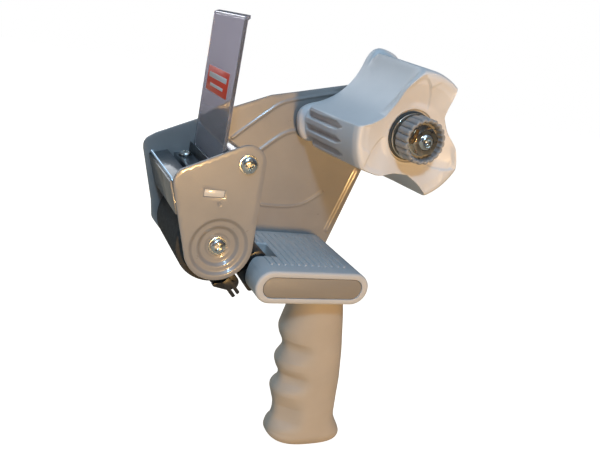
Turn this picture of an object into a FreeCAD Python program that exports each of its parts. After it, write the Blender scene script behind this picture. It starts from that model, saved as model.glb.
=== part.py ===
import FreeCAD, Part
import math
import os
from FreeCAD import Placement, Rotation, Vector

# Hand-held pistol-grip tape dispenser.  All sizes in millimetres.
# Frame: origin on the axis of the tape core hub, half-way across the tape.
#   -X  forward, towards the cutting blade and the application roller
#   +Y  across the tool, from the front side plate to the main frame plate
#   +Z  up; the grip hangs down from the shelf
os.makedirs("parts", exist_ok=True)
doc = FreeCAD.newDocument("TapeDispenser")

DIMENSIONS = [
    ("sheet", 1.5, "thickness of both side plates"),
    ("front_face", -30.0, "outer face of the front side plate, y"),
    ("frame_face", 28.0, "inner face of the main frame plate, y"),
    ("bead_height", 0.8, "height of the pressed beads in the frame plate"),
    ("roller_x", -91.7, "roller axis, x"),
    ("roller_z", -70.0, "roller axis, z"),
    ("roller_radius", 21.0, "outside radius of the rubber roller"),
    ("roller_wall", 3.0, "thickness of the rubber sleeve"),
    ("roller_front", -24.6, "front end of the roller, y"),
    ("roller_length", 48.8, "length of the roller"),
    ("axle_radius", 3.0, "radius of the roller axle"),
    ("tie_x", -84.1, "upper tie rod, x"),
    ("tie_z", -25.9, "upper tie rod, z"),
    ("tie_radius", 4.0, "radius of the upper tie rod"),
    ("hub_radius", 37.7, "outside radius of the tape core hub at its back end"),
    ("hub_front", -40.5, "front edge of the hub lobes, y"),
    ("hub_dish", 4.5, "depth of the dished hub face at its middle"),
    ("hub_back", 25.0, "back end of the hub lips, y"),
    ("valley_offset", 58.0, "distance from the hub axis to a valley centre"),
    ("valley_radius", 39.0, "radius of the hollow between two lobes"),
    ("spindle_radius", 4.0, "radius of the hub spindle"),
    ("bush_radius", 7.0, "outside radius of the hub bush"),
    ("knob_radius", 12.1, "outside radius of the brake knob"),
    ("knob_front", -50.0, "front rim of the brake knob, y"),
    ("knob_depth", 10.5, "depth of the brake knob"),
    ("shelf_left", -70.3, "front end of the shelf, x"),
    ("shelf_right", -2.7, "rear end of the shelf, x"),
    ("shelf_top", -79.4, "top of the shelf, z"),
    ("shelf_thick", 18.8, "thickness of the shelf"),
    ("shelf_front", -36.0, "near end of the shelf, y"),
    ("insert_margin", 3.4, "rim left round the shelf end panel"),
    ("insert_depth", 2.0, "thickness of the shelf end panel"),
    ("rib_pitch", 4.0, "pitch of the thumb ribs on the shelf"),
    ("rib_count", 12, "number of thumb ribs"),
    ("lean", 18.0, "lean of the blade and front cover, degrees"),
    ("flap_x", -96.5, "plane of the clear flap, x"),
    ("flap_pivot_z", -31.2, "centre of the flap's foot bead, z"),
    ("flap_gauge", 1.8, "thickness of the clear flap"),
    ("flap_height", 72.7, "height of the flap above its foot"),
    ("comb_x", -77.5, "comb pivot, x"),
    ("comb_z", -94.5, "comb pivot, z"),
    ("comb_pin", 2.5, "radius of the comb pivot pin"),
    ("lever_x", -61.35, "release lever pivot, x"),
    ("lever_z", -88.35, "release lever pivot, z"),
    ("lever_pin", 1.5, "radius of the release lever pin"),
]

sheet = doc.addObject("Spreadsheet::Sheet", "Params")
P = {}
for row, (alias, value, meaning) in enumerate(DIMENSIONS, start=1):
    sheet.set("A%d" % row, meaning)
    sheet.set("B%d" % row, str(value))
    sheet.setAlias("B%d" % row, alias)
    P[alias] = value
doc.recompute()

NODES = []
ALONG_Y = Rotation(Vector(1, 0, 0), -90)    # turns a +Z primitive to point along +Y


def node(obj, label):
    """Give an object its node name and list it for export."""
    obj.Label = label
    NODES.append(obj)
    return obj


# ---------------------------------------------------------------- outlines
def rounded(corners):
    """Closed outline through (u, v, radius) corners; radius 0 keeps a corner sharp."""
    starts, ends, mids = [], [], []
    count = len(corners)
    for i, (u, v, radius) in enumerate(corners):
        here = Vector(u, v, 0)
        before = Vector(corners[i - 1][0], corners[i - 1][1], 0)
        after = Vector(corners[(i + 1) % count][0], corners[(i + 1) % count][1], 0)
        if radius <= 0:
            starts.append(here)
            ends.append(here)
            mids.append(None)
            continue
        to_before = (before - here).normalize()
        to_after = (after - here).normalize()
        half = to_before.getAngle(to_after) / 2
        reach = radius / math.tan(half)
        bisector = (to_before + to_after).normalize()
        centre = here + bisector * (radius / math.sin(half))
        starts.append(here + to_before * reach)
        ends.append(here + to_after * reach)
        mids.append(centre - bisector * radius)
    shape = []
    for i in range(count):
        if mids[i] is not None:
            shape.append(Part.Arc(starts[i], mids[i], ends[i]))
        following = starts[(i + 1) % count]
        if (following - ends[i]).Length > 1e-6:
            shape.append(Part.LineSegment(ends[i], following))
    return shape


def hull(circles):
    """Closed outline stretched round (u, v, radius) circles given anticlockwise."""
    count = len(circles)
    normals = []
    for i in range(count):
        u0, v0, r0 = circles[i]
        u1, v1, r1 = circles[(i + 1) % count]
        along = Vector(u1 - u0, v1 - v0, 0)
        sine = (r0 - r1) / along.Length
        along.normalize()
        right = Vector(along.y, -along.x, 0)
        normals.append(right * math.sqrt(1 - sine * sine) + along * sine)
    shape = []
    for i in range(count):
        u0, v0, r0 = circles[i]
        u1, v1, r1 = circles[(i + 1) % count]
        centre = Vector(u0, v0, 0)
        arrive = normals[i - 1]
        leave = normals[i]
        first = math.atan2(arrive.y, arrive.x)
        turn = (math.atan2(leave.y, leave.x) - first) % (2 * math.pi)
        middle = Vector(math.cos(first + turn / 2), math.sin(first + turn / 2), 0)
        shape.append(Part.Arc(centre + arrive * r0, centre + middle * r0, centre + leave * r0))
        shape.append(Part.LineSegment(centre + leave * r0, Vector(u1, v1, 0) + leave * r1))
    return shape


def ribbon(points, width):
    """Closed outline of a bead: a centre line thickened by width, with round ends."""
    path = [Vector(u, v, 0) for u, v in points]
    half = width / 2
    left, right = [], []
    for i, here in enumerate(path):
        into = (here - path[i - 1]).normalize() if i else None
        out = (path[i + 1] - here).normalize() if i + 1 < len(path) else None
        along = ((into or out) + (out or into)).normalize()
        side = Vector(-along.y, along.x, 0)
        stretch = half if into is None or out is None else half / math.cos(into.getAngle(out) / 2)
        left.append(here + side * stretch)
        right.append(here - side * stretch)
    tail = path[-1] + (path[-1] - path[-2]).normalize() * half
    nose = path[0] + (path[0] - path[1]).normalize() * half
    shape = [Part.LineSegment(a, b) for a, b in zip(right, right[1:])]
    shape.append(Part.Arc(right[-1], tail, left[-1]))
    back = left[::-1]
    shape += [Part.LineSegment(a, b) for a, b in zip(back, back[1:])]
    shape.append(Part.Arc(left[0], nose, right[0]))
    return shape


def rectangle(u0, v0, u1, v1, radius=0.0):
    return rounded([(u0, v0, radius), (u1, v0, radius), (u1, v1, radius), (u0, v1, radius)])


def disc(u, v, radius):
    return [Part.Circle(Vector(u, v, 0), Vector(0, 0, 1), radius)]


def polygon(points):
    return rounded([(u, v, 0) for u, v in points])


# ---------------------------------------------------------------- features
def new_body(name):
    return doc.addObject("PartDesign::Body", name)


def sketch(body, role, offset, *outlines):
    """Sketch on one of the body's own origin planes, moved by offset along its normal."""
    plane = next(f for f in body.Origin.OriginFeatures if f.Role == role)
    drawn = body.newObject("Sketcher::SketchObject", body.Name + "_sketch")
    drawn.AttachmentSupport = [(plane, "")]
    drawn.MapMode = "FlatFace"
    if isinstance(offset, str):
        drawn.setExpression("AttachmentOffset.Base.z", offset)
    else:
        drawn.AttachmentOffset = Placement(Vector(0, 0, offset), Rotation())
    for outline in outlines:
        drawn.addGeometry(outline, False)
    drawn.Visibility = False
    return drawn


def feature(body, kind, drawn, length=None):
    made = body.newObject("PartDesign::" + kind, body.Name + "_" + kind.lower())
    made.Profile = drawn
    if isinstance(length, str):
        made.setExpression("Length", length)
    elif length is not None:
        made.Length = length
    body.Tip = made
    return made


def pad_y(body, y_low, y_high, *outlines):
    """Pad outlines drawn in X and Z between two y positions."""
    drawn = sketch(body, "XZ_Plane", -y_high, *outlines)
    return feature(body, "Pad", drawn, y_high - y_low)


def pocket_y(body, y_low, y_high, *outlines):
    """Cut outlines drawn in X and Z between two y positions."""
    drawn = sketch(body, "XZ_Plane", -y_low, *outlines)
    return feature(body, "Pocket", drawn, y_high - y_low)


def pad_z(body, z_low, z_high, *outlines):
    drawn = sketch(body, "XY_Plane", z_low, *outlines)
    return feature(body, "Pad", drawn, z_high - z_low)


def pocket_z(body, z_low, z_high, *outlines):
    drawn = sketch(body, "XY_Plane", z_high, *outlines)
    return feature(body, "Pocket", drawn, z_high - z_low)


def turned(name, profile, x=0.0, z=0.0):
    """Body turned about an axis along Y; profile is a list of (radius, y)."""
    body = new_body(name)
    drawn = sketch(body, "XY_Plane", 0.0, polygon(profile))
    made = feature(body, "Revolution", drawn)
    made.ReferenceAxis = (drawn, ["V_Axis"])
    made.Angle = 360.0
    body.Placement = Placement(Vector(x, 0, z), Rotation())
    return body


def tube(name, radius, bore, y_low, y_high, x, z):
    """Plain round bar or tube along Y; radius and bore may be spreadsheet names."""
    outer = doc.addObject("Part::Cylinder", name + "_outer")
    if isinstance(radius, str):
        outer.setExpression("Radius", "Params." + radius)
    else:
        outer.Radius = radius
    outer.Height = y_high - y_low
    outer.Placement = Placement(Vector(x, y_low, z), ALONG_Y)
    if not bore:
        return outer
    inner = doc.addObject("Part::Cylinder", name + "_bore")
    inner.Radius = bore
    inner.Height = y_high - y_low
    inner.Placement = outer.Placement
    made = doc.addObject("Part::Cut", name)
    made.Base = outer
    made.Tool = inner
    return made


def cross_recess(body, y_face, y_floor, reach=1.9, half=0.55):
    """Cross-shaped driver recess in a screw head on the body's own Y axis."""
    arm = [(reach, -half), (reach, half), (half, half)]
    outline = []
    for turn in range(4):
        for u, v in arm:
            for _ in range(turn):
                u, v = -v, u
            outline.append((u, v))
    low, high = min(y_face, y_floor), max(y_face, y_floor)
    return pocket_y(body, low, high, polygon(outline))


def pan_screw(name, x, z, y_seat, outward, shank, head=4.2):
    """Pan head screw along Y.  outward is -1 for a head facing -Y and +1 for +Y."""
    rise, shank_radius = 2.6, 2.0
    profile = [
        (0, y_seat - outward * shank), (shank_radius, y_seat - outward * shank),
        (shank_radius, y_seat), (head, y_seat), (head, y_seat + outward * 0.9),
        (head * 0.86, y_seat + outward * 1.8), (head * 0.55, y_seat + outward * 2.4),
        (head * 0.25, y_seat + outward * rise), (0, y_seat + outward * rise),
    ]
    body = turned(name, profile, x, z)
    tip = y_seat + outward * rise
    cross_recess(body, tip, tip - outward * 1.5)
    return body


def group(name, members):
    made = doc.addObject("Part::Compound", name)
    made.Links = members
    return made


def spring(name, radius, wire, pitch, turns, y_low, x, z):
    """Round-wire coil spring along Y, swept along a helix."""
    path = Part.makeHelix(pitch, pitch * turns, radius)
    ring = Part.Wire(Part.makeCircle(wire / 2, Vector(radius, 0, 0), Vector(0, 1, 0)))
    made = doc.addObject("Part::Feature", name)
    made.Shape = Part.Wire(path).makePipeShell([ring], True, True)
    made.Placement = Placement(Vector(x, y_low, z), ALONG_Y)
    return made


ROLLER = (P["roller_x"], P["roller_z"])
TIE = (P["tie_x"], P["tie_z"])
COMB = (P["comb_x"], P["comb_z"])
LEVER = (P["lever_x"], P["lever_z"])
FRONT_IN = P["front_face"] + P["sheet"]
FRAME_IN = P["frame_face"]
FRAME_OUT = P["frame_face"] + P["sheet"]
SLOT = (-98.6, -42.1)                       # centre of the spacer bar's tenons
SLOT_HALF = (5.2, 1.85)                     # half length and half height of its slots
HANDLE_HOLES = ((-22.0, -84.4), (-42.0, -84.4))
SCREW_CLEAR = 2.1                           # radius of a clearance hole for a screw
TENON_SLOT = (SLOT[0] - SLOT_HALF[0], SLOT[1] - SLOT_HALF[1],
              SLOT[0] + SLOT_HALF[0], SLOT[1] + SLOT_HALF[1])

# ---------------------------------------------------------------- main frame plate
frame = new_body("frame_plate_body")
frame_outline = rounded([
    (-124.6, -31.5, 6.0), (-124.0, -36.4, 0), (-116.0, -65.5, 4.0), (-114.4, -75.6, 6.0),
    (-87.2, -107.4, 9.0), (-70.0, -106.0, 8.0), (-60.0, -95.6, 10.0), (-3.6, -95.6, 6.0),
    (29.3, 26.3, 19.0), (-41.7, 6.6, 30.0), (-56.0, 2.7, 0), (-78.3, -7.6, 40.0),
    (-118.5, -27.2, 7.0),
])
frame_pad = sketch(frame, "XZ_Plane", "-(Params.frame_face + Params.sheet)", frame_outline)
feature(frame, "Pad", frame_pad, "Params.sheet")
BEADS = [
    ribbon([(-75.0, -24.5), (-66.0, -15.7), (-57.6, -7.9), (-50.2, -1.3), (-44.4, 1.3),
            (-32.4, 5.1), (-14.9, 10.1), (0.0, 13.2)], 2.4),
    ribbon([(-58.5, -31.0), (-53.0, -25.9), (-46.9, -20.2), (-40.8, -16.4), (-30.0, -14.0)], 3.0),
    ribbon([(-50.0, -62.8), (-40.8, -63.0), (-30.9, -62.5), (-22.5, -60.2), (-16.6, -55.8),
            (-11.3, -51.4)], 2.4),
    ribbon([(9.8, -35.6), (-2.0, -76.0)], 4.6),
]
for outline in BEADS:
    pad_y(frame, FRAME_IN - P["bead_height"], FRAME_IN + 0.2, outline)
pocket_y(
    frame, FRAME_IN - 2, FRAME_OUT + 1,
    disc(0, 0, P["spindle_radius"] + 0.1), disc(*TIE, SCREW_CLEAR), disc(*ROLLER, SCREW_CLEAR),
    disc(*COMB, 2.0), rectangle(*TENON_SLOT), *[disc(x, z, SCREW_CLEAR) for x, z in HANDLE_HOLES],
)
node(frame, "frame_plate")

# ---------------------------------------------------------------- front side plate
side = new_body("front_side_plate_body")
side_outline = hull([
    (ROLLER[0], ROLLER[1], 18.0), (TIE[0], TIE[1], 9.5), (-111.7, -37.9, 7.8),
])
side_pad = sketch(side, "XZ_Plane", "-(Params.front_face + Params.sheet)", side_outline)
feature(side, "Pad", side_pad, "Params.sheet")
pocket_y(
    side, P["front_face"] - 1, FRONT_IN + 1,
    disc(*ROLLER, 15.2), disc(*TIE, SCREW_CLEAR), rectangle(*TENON_SLOT),
)
DISH = [
    (15.6, -30.0), (15.0, -30.0), (13.8, -29.0), (11.4, -29.0), (10.2, -28.0), (7.6, -28.0),
    (6.6, -27.0), (2.1, -27.0), (2.1, -25.5), (7.2, -25.5), (8.2, -26.5), (10.8, -26.5),
    (12.0, -27.5), (14.4, -27.5), (15.6, -28.5),
]
dish_profile = sketch(
    side, "XY_Plane", "Params.roller_z", polygon([(ROLLER[0] + r, y) for r, y in DISH]))
dish_profile.addGeometry(
    Part.LineSegment(Vector(ROLLER[0], -10, 0), Vector(ROLLER[0], 10, 0)), True)
dish = feature(side, "Revolution", dish_profile)
dish.ReferenceAxis = (dish_profile, ["Axis0"])
dish.Angle = 360.0
node(side, "front_side_plate")

# ---------------------------------------------------------------- tie rod, screws and washers
tie = tube("upper_tie_rod", "tie_radius", 2.05, FRONT_IN, FRAME_IN, *TIE)
node(tie, "upper_tie_rod")

WASHER = 0.8
washers = [
    tube("tie_washer", 4.9, 2.1, P["front_face"] - WASHER, P["front_face"], *TIE),
    tube("axle_washer", 4.9, 2.1, -27.0 - WASHER, -27.0, *ROLLER),
]
node(group("side_washers", washers), "side_plate_washers")
side_screws = [
    pan_screw("tie_screw", *TIE, P["front_face"] - WASHER, -1, 16.0),
    pan_screw("axle_screw", *ROLLER, -27.0 - WASHER, -1, 14.0),
]
node(group("side_screws", side_screws), "side_plate_screws")
rear_screws = [
    pan_screw("tie_rear_screw", *TIE, FRAME_OUT, 1, 14.0),
    pan_screw("axle_rear_screw", *ROLLER, FRAME_OUT, 1, 14.0),
]
node(group("rear_screws", rear_screws), "frame_rear_screws")

# ---------------------------------------------------------------- spacer bar with end tenons
bar = new_body("spacer_bar_body")
pad_y(bar, FRONT_IN, FRAME_IN,
      rectangle(TENON_SLOT[0] - 1, TENON_SLOT[1] - 1, TENON_SLOT[2] + 1, TENON_SLOT[3] + 1, 0.8))
TENON_GAP = 0.05
pad_y(bar, P["front_face"] + 0.3, FRAME_OUT - 0.3,
      rectangle(TENON_SLOT[0] + TENON_GAP, TENON_SLOT[1] + TENON_GAP,
                TENON_SLOT[2] - TENON_GAP, TENON_SLOT[3] - TENON_GAP))
node(bar, "spacer_bar")

# ---------------------------------------------------------------- cross plate and its screws
cross = new_body("cross_plate_body")
CROSS_SLOPE = math.radians(12.0)
CROSS_FRONT = (-107.0, -36.6)


def on_cross(run, rise=0.0):
    """Point (x, z) at a distance run behind the cross plate's front edge, rise above it."""
    x = CROSS_FRONT[0] + run * math.cos(CROSS_SLOPE) - rise * math.sin(CROSS_SLOPE)
    z = CROSS_FRONT[1] + run * math.sin(CROSS_SLOPE) + rise * math.cos(CROSS_SLOPE)
    return x, z


pad_y(cross, FRONT_IN, FRAME_IN, polygon([
    on_cross(0), (-107.0, -45.0), (-105.8, -45.0), on_cross(1.4, -1.5), on_cross(19.6, -1.5),
    on_cross(19.6, 0),
]))
SCREW_ROWS = (-19.5, 19.5)
SCREW_RUN = 4.5
TILTED_CLEAR = 2.4                          # hole that clears a shank standing on the slope
for y in SCREW_ROWS:
    pocket_z(cross, -41.0, -25.0, disc(on_cross(SCREW_RUN)[0], y, TILTED_CLEAR))
node(cross, "cross_plate")

cross_screws = []
for i, y in enumerate(SCREW_ROWS):
    screw = pan_screw("cross_screw_%d" % i, 0, 0, 0.0, 1, 2.6, 3.5)
    x, z = on_cross(SCREW_RUN)
    tilt = Rotation(Vector(0, 1, 0), -12.0).multiply(Rotation(Vector(1, 0, 0), 90))
    screw.Placement = Placement(Vector(x, y, z), tilt)
    cross_screws.append(screw)
node(group("cross_screw_pair", cross_screws), "cross_plate_screws")

# ---------------------------------------------------------------- blade, holder and front cover
LEAN = Placement(Vector(-120.9, 0, -38.6), Rotation(Vector(0, 1, 0), -P["lean"]))

cover = new_body("front_cover_body")
pad_y(cover, FRONT_IN, FRAME_IN, polygon([
    (0, 0), (1.2, 0), (1.2, -15.8), (5.0, -15.8), (5.0, -17.0), (0, -17.0),
]))
cover.Placement = LEAN
node(cover, "front_cover")

blade = new_body("cutting_blade_body")
TOOTH_PITCH, TOOTH_RISE = 2.5, 1.8
blade_low, blade_high = -27.5, 27.5
teeth = int(round((blade_high - blade_low) / TOOTH_PITCH))
blade_edge = [(blade_low, -12.0), (blade_high, -12.0)]
for i in range(teeth):
    right = blade_high - i * TOOTH_PITCH
    blade_edge.append((right, 0.0))
    blade_edge.append((right - TOOTH_PITCH / 2, TOOTH_RISE))
blade_edge.append((blade_low, 0.0))
blade_profile = sketch(blade, "YZ_Plane", 1.2, polygon(blade_edge))
feature(blade, "Pad", blade_profile, 0.8)
blade.Placement = LEAN
node(blade, "cutting_blade")

holder = new_body("blade_holder_body")
pad_y(holder, FRONT_IN, FRAME_IN, polygon([
    (2.0, 0), (10.6, 0), (10.6, -3.0), (9.6, -3.0), (9.6, -1.2), (3.2, -1.2), (3.2, -14.0), (2.0, -14.0),
]))
holder.Placement = LEAN
node(holder, "blade_holder")

# ---------------------------------------------------------------- clear flap on its clamp strip
FLAP = (P["flap_x"], P["flap_pivot_z"])
BEAD_RADIUS = 1.6
SEAT_RADIUS = 1.72
strip = new_body("flap_clamp_strip_body")
STRIP_LEFT, STRIP_RIGHT = FLAP[0] - 2.4, FLAP[0] + 4.2
STRIP_TOP = FLAP[1] + 1.6


def cross_top(x):
    """Height of the cross plate's upper face at x."""
    return CROSS_FRONT[1] + (x - CROSS_FRONT[0]) * math.tan(CROSS_SLOPE)


pad_y(strip, FRONT_IN, FRAME_IN, polygon([
    (STRIP_LEFT, cross_top(STRIP_LEFT)), (STRIP_RIGHT, cross_top(STRIP_RIGHT)),
    (STRIP_RIGHT, STRIP_TOP), (STRIP_LEFT, STRIP_TOP),
]))
pocket_y(strip, FRONT_IN - 1, FRAME_IN + 1, disc(*FLAP, SEAT_RADIUS))
spread = math.tan(math.radians(52.0)) * 2.0
pocket_y(strip, FRONT_IN - 1, FRAME_IN + 1, polygon([
    (FLAP[0], FLAP[1]), (FLAP[0] + spread, FLAP[1] + 2.0), (FLAP[0] - spread, FLAP[1] + 2.0),
]))
node(strip, "flap_clamp_strip")

flap = new_body("tape_flap_body")
FLAP_LOW, FLAP_HIGH = -27.4, 25.6
gauge = P["flap_gauge"] / 2
FLAP_TOP = FLAP[1] + P["flap_height"]
pad_y(flap, FLAP_LOW, FLAP_HIGH, disc(*FLAP, BEAD_RADIUS))
pad_y(flap, FLAP_LOW, FLAP_HIGH, polygon([
    (FLAP[0] - gauge, FLAP[1] - 0.8), (FLAP[0] + gauge, FLAP[1] - 0.8), (FLAP[0] + gauge, FLAP_TOP),
    (FLAP[0] - gauge, FLAP_TOP),
]))
pad_y(flap, FLAP_LOW, FLAP_HIGH, polygon([
    (FLAP[0] - gauge, FLAP_TOP - 1.4), (FLAP[0] + 1.9, FLAP_TOP - 0.2), (FLAP[0] + 1.7, FLAP_TOP + 1.1),
    (FLAP[0] - gauge, FLAP_TOP),
]))
node(flap, "tape_flap")

label = new_body("flap_label_body")
label_profile = sketch(label, "YZ_Plane", FLAP[0] - gauge - 0.15,
                       rectangle(-19.0, 1.8, 18.6, 14.4, 0.8))
feature(label, "Pad", label_profile, 0.15)
node(label, "flap_label")

# ---------------------------------------------------------------- application roller
ROLL_LOW = P["roller_front"]
ROLL_HIGH = P["roller_front"] + P["roller_length"]
CORE = P["roller_radius"] - P["roller_wall"]
axle = turned("roller_axle_body", [
    (2.05, -25.5), (P["axle_radius"] + 2.0, -25.5), (P["axle_radius"] + 2.0, -25.0),
    (P["axle_radius"], -25.0), (P["axle_radius"], 24.6), (P["axle_radius"] + 2.0, 24.6),
    (P["axle_radius"] + 2.0, FRAME_IN), (2.05, FRAME_IN),
], *ROLLER)
node(axle, "roller_axle")

core_profile = [
    (7.0, ROLL_LOW + 4), (14.5, ROLL_LOW + 4), (14.5, ROLL_LOW), (CORE, ROLL_LOW),
    (CORE, ROLL_HIGH), (14.5, ROLL_HIGH), (14.5, ROLL_HIGH - 4), (7.0, ROLL_HIGH - 4),
]
node(turned("roller_core_body", core_profile, *ROLLER), "roller_core")
sleeve_profile = [
    (CORE, ROLL_LOW), (P["roller_radius"] - 0.8, ROLL_LOW), (P["roller_radius"], ROLL_LOW + 0.8),
    (P["roller_radius"], ROLL_HIGH - 0.8), (P["roller_radius"] - 0.8, ROLL_HIGH), (CORE, ROLL_HIGH),
]
node(turned("roller_sleeve_body", sleeve_profile, *ROLLER), "roller_sleeve")
BUSH_BORE = P["axle_radius"] + 0.05
bushes = []
for i, (outer, inner) in enumerate(((ROLL_LOW + 0.2, 1), (ROLL_HIGH - 0.2, -1))):
    bushes.append(turned("roller_bush_%d" % i, [
        (BUSH_BORE, outer), (9.5, outer), (9.5, outer + inner * 3.8), (7.0, outer + inner * 3.8),
        (7.0, outer + inner * 12), (BUSH_BORE, outer + inner * 12),
    ], *ROLLER))
node(group("roller_bush_pair", bushes), "roller_bushes")

# ---------------------------------------------------------------- comb under the roller
COMB_LOW, COMB_HIGH = -22.0, 17.0
SHAFT_TIP = COMB_LOW + 5.2                  # blind end of the shaft inside the comb
node(turned("comb_shaft_body", [
    (0, SHAFT_TIP), (P["comb_pin"], SHAFT_TIP), (P["comb_pin"], FRAME_IN), (2.0, FRAME_IN),
    (2.0, FRAME_OUT), (4.0, FRAME_OUT), (3.2, FRAME_OUT + 1.4), (0, FRAME_OUT + 1.6),
], *COMB), "comb_shaft")

comb = new_body("stop_comb_body")
pad_y(comb, COMB_LOW + 4.0, COMB_HIGH, disc(*COMB, 4.5))
pad_y(comb, COMB_LOW + 2.0, COMB_HIGH, hull([
    (COMB[0] - 9.6, COMB[1] - 0.6, 1.0), (COMB[0], COMB[1] - 1.0, 2.8),
]))
FINGER_PITCH = (COMB_HIGH - COMB_LOW) / 6
gaps = []
for i in range(1, 6):
    y = COMB_LOW + i * FINGER_PITCH
    gaps.append(rectangle(COMB[0] - 12.0, y - 1.4, COMB[0] - 4.9, y + 1.4))
pocket_z(comb, COMB[1] - 6.0, COMB[1] + 6.0, *gaps)
TONGUE_SLOPE = math.radians(-48.6)
TONGUE_TOP = (COMB[0] - 4.7, COMB[1] + 3.2)
TONGUE_LONG, TONGUE_HALF = 11.3, 2.5


def on_tongue(along, across, radius):
    """Corner (x, z, radius) at a distance along the tongue and to one side of its middle line."""
    return (TONGUE_TOP[0] + along * math.cos(TONGUE_SLOPE) - across * math.sin(TONGUE_SLOPE),
            TONGUE_TOP[1] + along * math.sin(TONGUE_SLOPE) + across * math.cos(TONGUE_SLOPE), radius)


def tongue_outline(start, end, half, radius):
    return rounded([on_tongue(start, -half, radius), on_tongue(end, -half, radius),
                    on_tongue(end, half, radius), on_tongue(start, half, radius)])


pad_y(comb, COMB_LOW, COMB_LOW + 4.6, tongue_outline(0.0, TONGUE_LONG, TONGUE_HALF, 0.9))
pocket_y(comb, COMB_LOW - 1, COMB_LOW + 5.0, tongue_outline(5.6, TONGUE_LONG + 1, 0.5, 0))
pocket_y(comb, SHAFT_TIP, COMB_HIGH + 1, disc(*COMB, P["comb_pin"] + 0.06))
node(comb, "stop_comb")
node(spring("comb_spring", 3.6, 1.0, 1.5, 5, 18.2, *COMB), "comb_spring")

# ---------------------------------------------------------------- shelf housing
shelf_end = P["shelf_thick"] / 2
SHELF_MID = P["shelf_top"] - shelf_end
SHELF_ENDS = (P["shelf_left"] + shelf_end, P["shelf_right"] - shelf_end)
shelf = new_body("shelf_housing_body")
shelf_section = hull([(SHELF_ENDS[0], SHELF_MID, shelf_end), (SHELF_ENDS[1], SHELF_MID, shelf_end)])
shelf_pad = sketch(shelf, "XZ_Plane", "-Params.frame_face", shelf_section)
feature(shelf, "Pad", shelf_pad, "Params.frame_face - Params.shelf_front")
rib = sketch(shelf, "XY_Plane", "Params.shelf_top - 0.2", rectangle(-60.5, -27.0, -58.9, 23.0, 0.7))
rib_pad = feature(shelf, "Pad", rib, 0.7)
ribs = shelf.newObject("PartDesign::LinearPattern", "shelf_ribs")
ribs.Originals = [rib_pad]
ribs.Direction = (rib, ["H_Axis"])
ribs.setExpression("Length", "Params.rib_pitch * (Params.rib_count - 1)")
ribs.setExpression("Occurrences", "Params.rib_count")
shelf.Tip = ribs
end_radius = shelf_end - P["insert_margin"]
insert_outline = [
    (SHELF_ENDS[0] + 0.8, SHELF_MID, end_radius), (SHELF_ENDS[1] - 0.8, SHELF_MID, end_radius),
]
pocket_y(shelf, P["shelf_front"] - 1, P["shelf_front"] + P["insert_depth"] + 0.3, hull(insert_outline))
NOTCH = (-72.0, -14.4, -51.4, 5.5)
pocket_z(shelf, P["shelf_top"] - P["shelf_thick"] - 1, P["shelf_top"] + 1, rounded([
    (NOTCH[0], NOTCH[1] - 6.0, 0), (-66.0, NOTCH[1], 4.0), (NOTCH[2], NOTCH[1], 0.8),
    (NOTCH[2], NOTCH[3], 0.8), (NOTCH[0], NOTCH[3], 0),
]))
pocket_z(shelf, P["shelf_top"] - P["shelf_thick"] - 1, P["shelf_top"] + 1, [
    Part.LineSegment(Vector(-11.7, 28.4, 0), Vector(-2.0, 28.4, 0)),
    Part.LineSegment(Vector(-2.0, 28.4, 0), Vector(-2.0, 19.0, 0)),
    Part.LineSegment(Vector(-2.0, 19.0, 0), Vector(-2.5, 19.0, 0)),
    Part.Arc(Vector(-2.5, 19.0, 0), Vector(-5.194, 25.506, 0), Vector(-11.7, 28.2, 0)),
    Part.LineSegment(Vector(-11.7, 28.2, 0), Vector(-11.7, 28.4, 0)),
])
pocket_y(shelf, NOTCH[1] - 6.0, NOTCH[3] + 5.0, disc(*LEVER, P["lever_pin"]))
LEG = {"left": -48.0, "right": -12.0, "low": -95.4, "high": -81.6}
BAR = {"low": -90.2, "high": -87.2}
TANG = {"left": -27.0, "right": -9.0, "front": -6.0, "back": -3.0, "foot": -182.0}
pocket_y(shelf, 25.0, 29.0, rectangle(LEG["left"], LEG["low"], LEG["right"], LEG["high"], 1.0))
pocket_y(shelf, TANG["front"], 26.0, rectangle(LEG["left"], BAR["low"], LEG["right"], BAR["high"]))
pocket_z(shelf, -100.0, BAR["low"] + 1, rectangle(TANG["left"], TANG["front"], TANG["right"], TANG["back"]))
node(shelf, "shelf_housing")

panel = new_body("shelf_end_panel_body")
panel_outline = [(x, z, r - 0.15) for x, z, r in insert_outline]
pad_y(panel, P["shelf_front"] + 0.3, P["shelf_front"] + P["insert_depth"] + 0.3, hull(panel_outline))
node(panel, "shelf_end_panel")

# ---------------------------------------------------------------- steel bracket inside the shelf and grip
bracket = new_body("handle_bracket_body")
pad_y(bracket, 25.0, FRAME_IN, rectangle(LEG["left"], LEG["low"], LEG["right"], LEG["high"], 1.0))
pad_y(bracket, TANG["front"], 26.0, rectangle(LEG["left"], BAR["low"], LEG["right"], BAR["high"]))
pad_y(bracket, TANG["front"], TANG["back"],
      rectangle(TANG["left"], TANG["foot"], TANG["right"], BAR["low"] + 1))
pocket_y(bracket, 20.0, 30.0, *[disc(x, z, 2.0) for x, z in HANDLE_HOLES])
node(bracket, "handle_bracket")
handle_screws = [
    pan_screw("handle_screw_%d" % i, x, z, FRAME_OUT, 1, 4.4) for i, (x, z) in enumerate(HANDLE_HOLES)
]
node(group("handle_screw_pair", handle_screws), "handle_screws")

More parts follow.
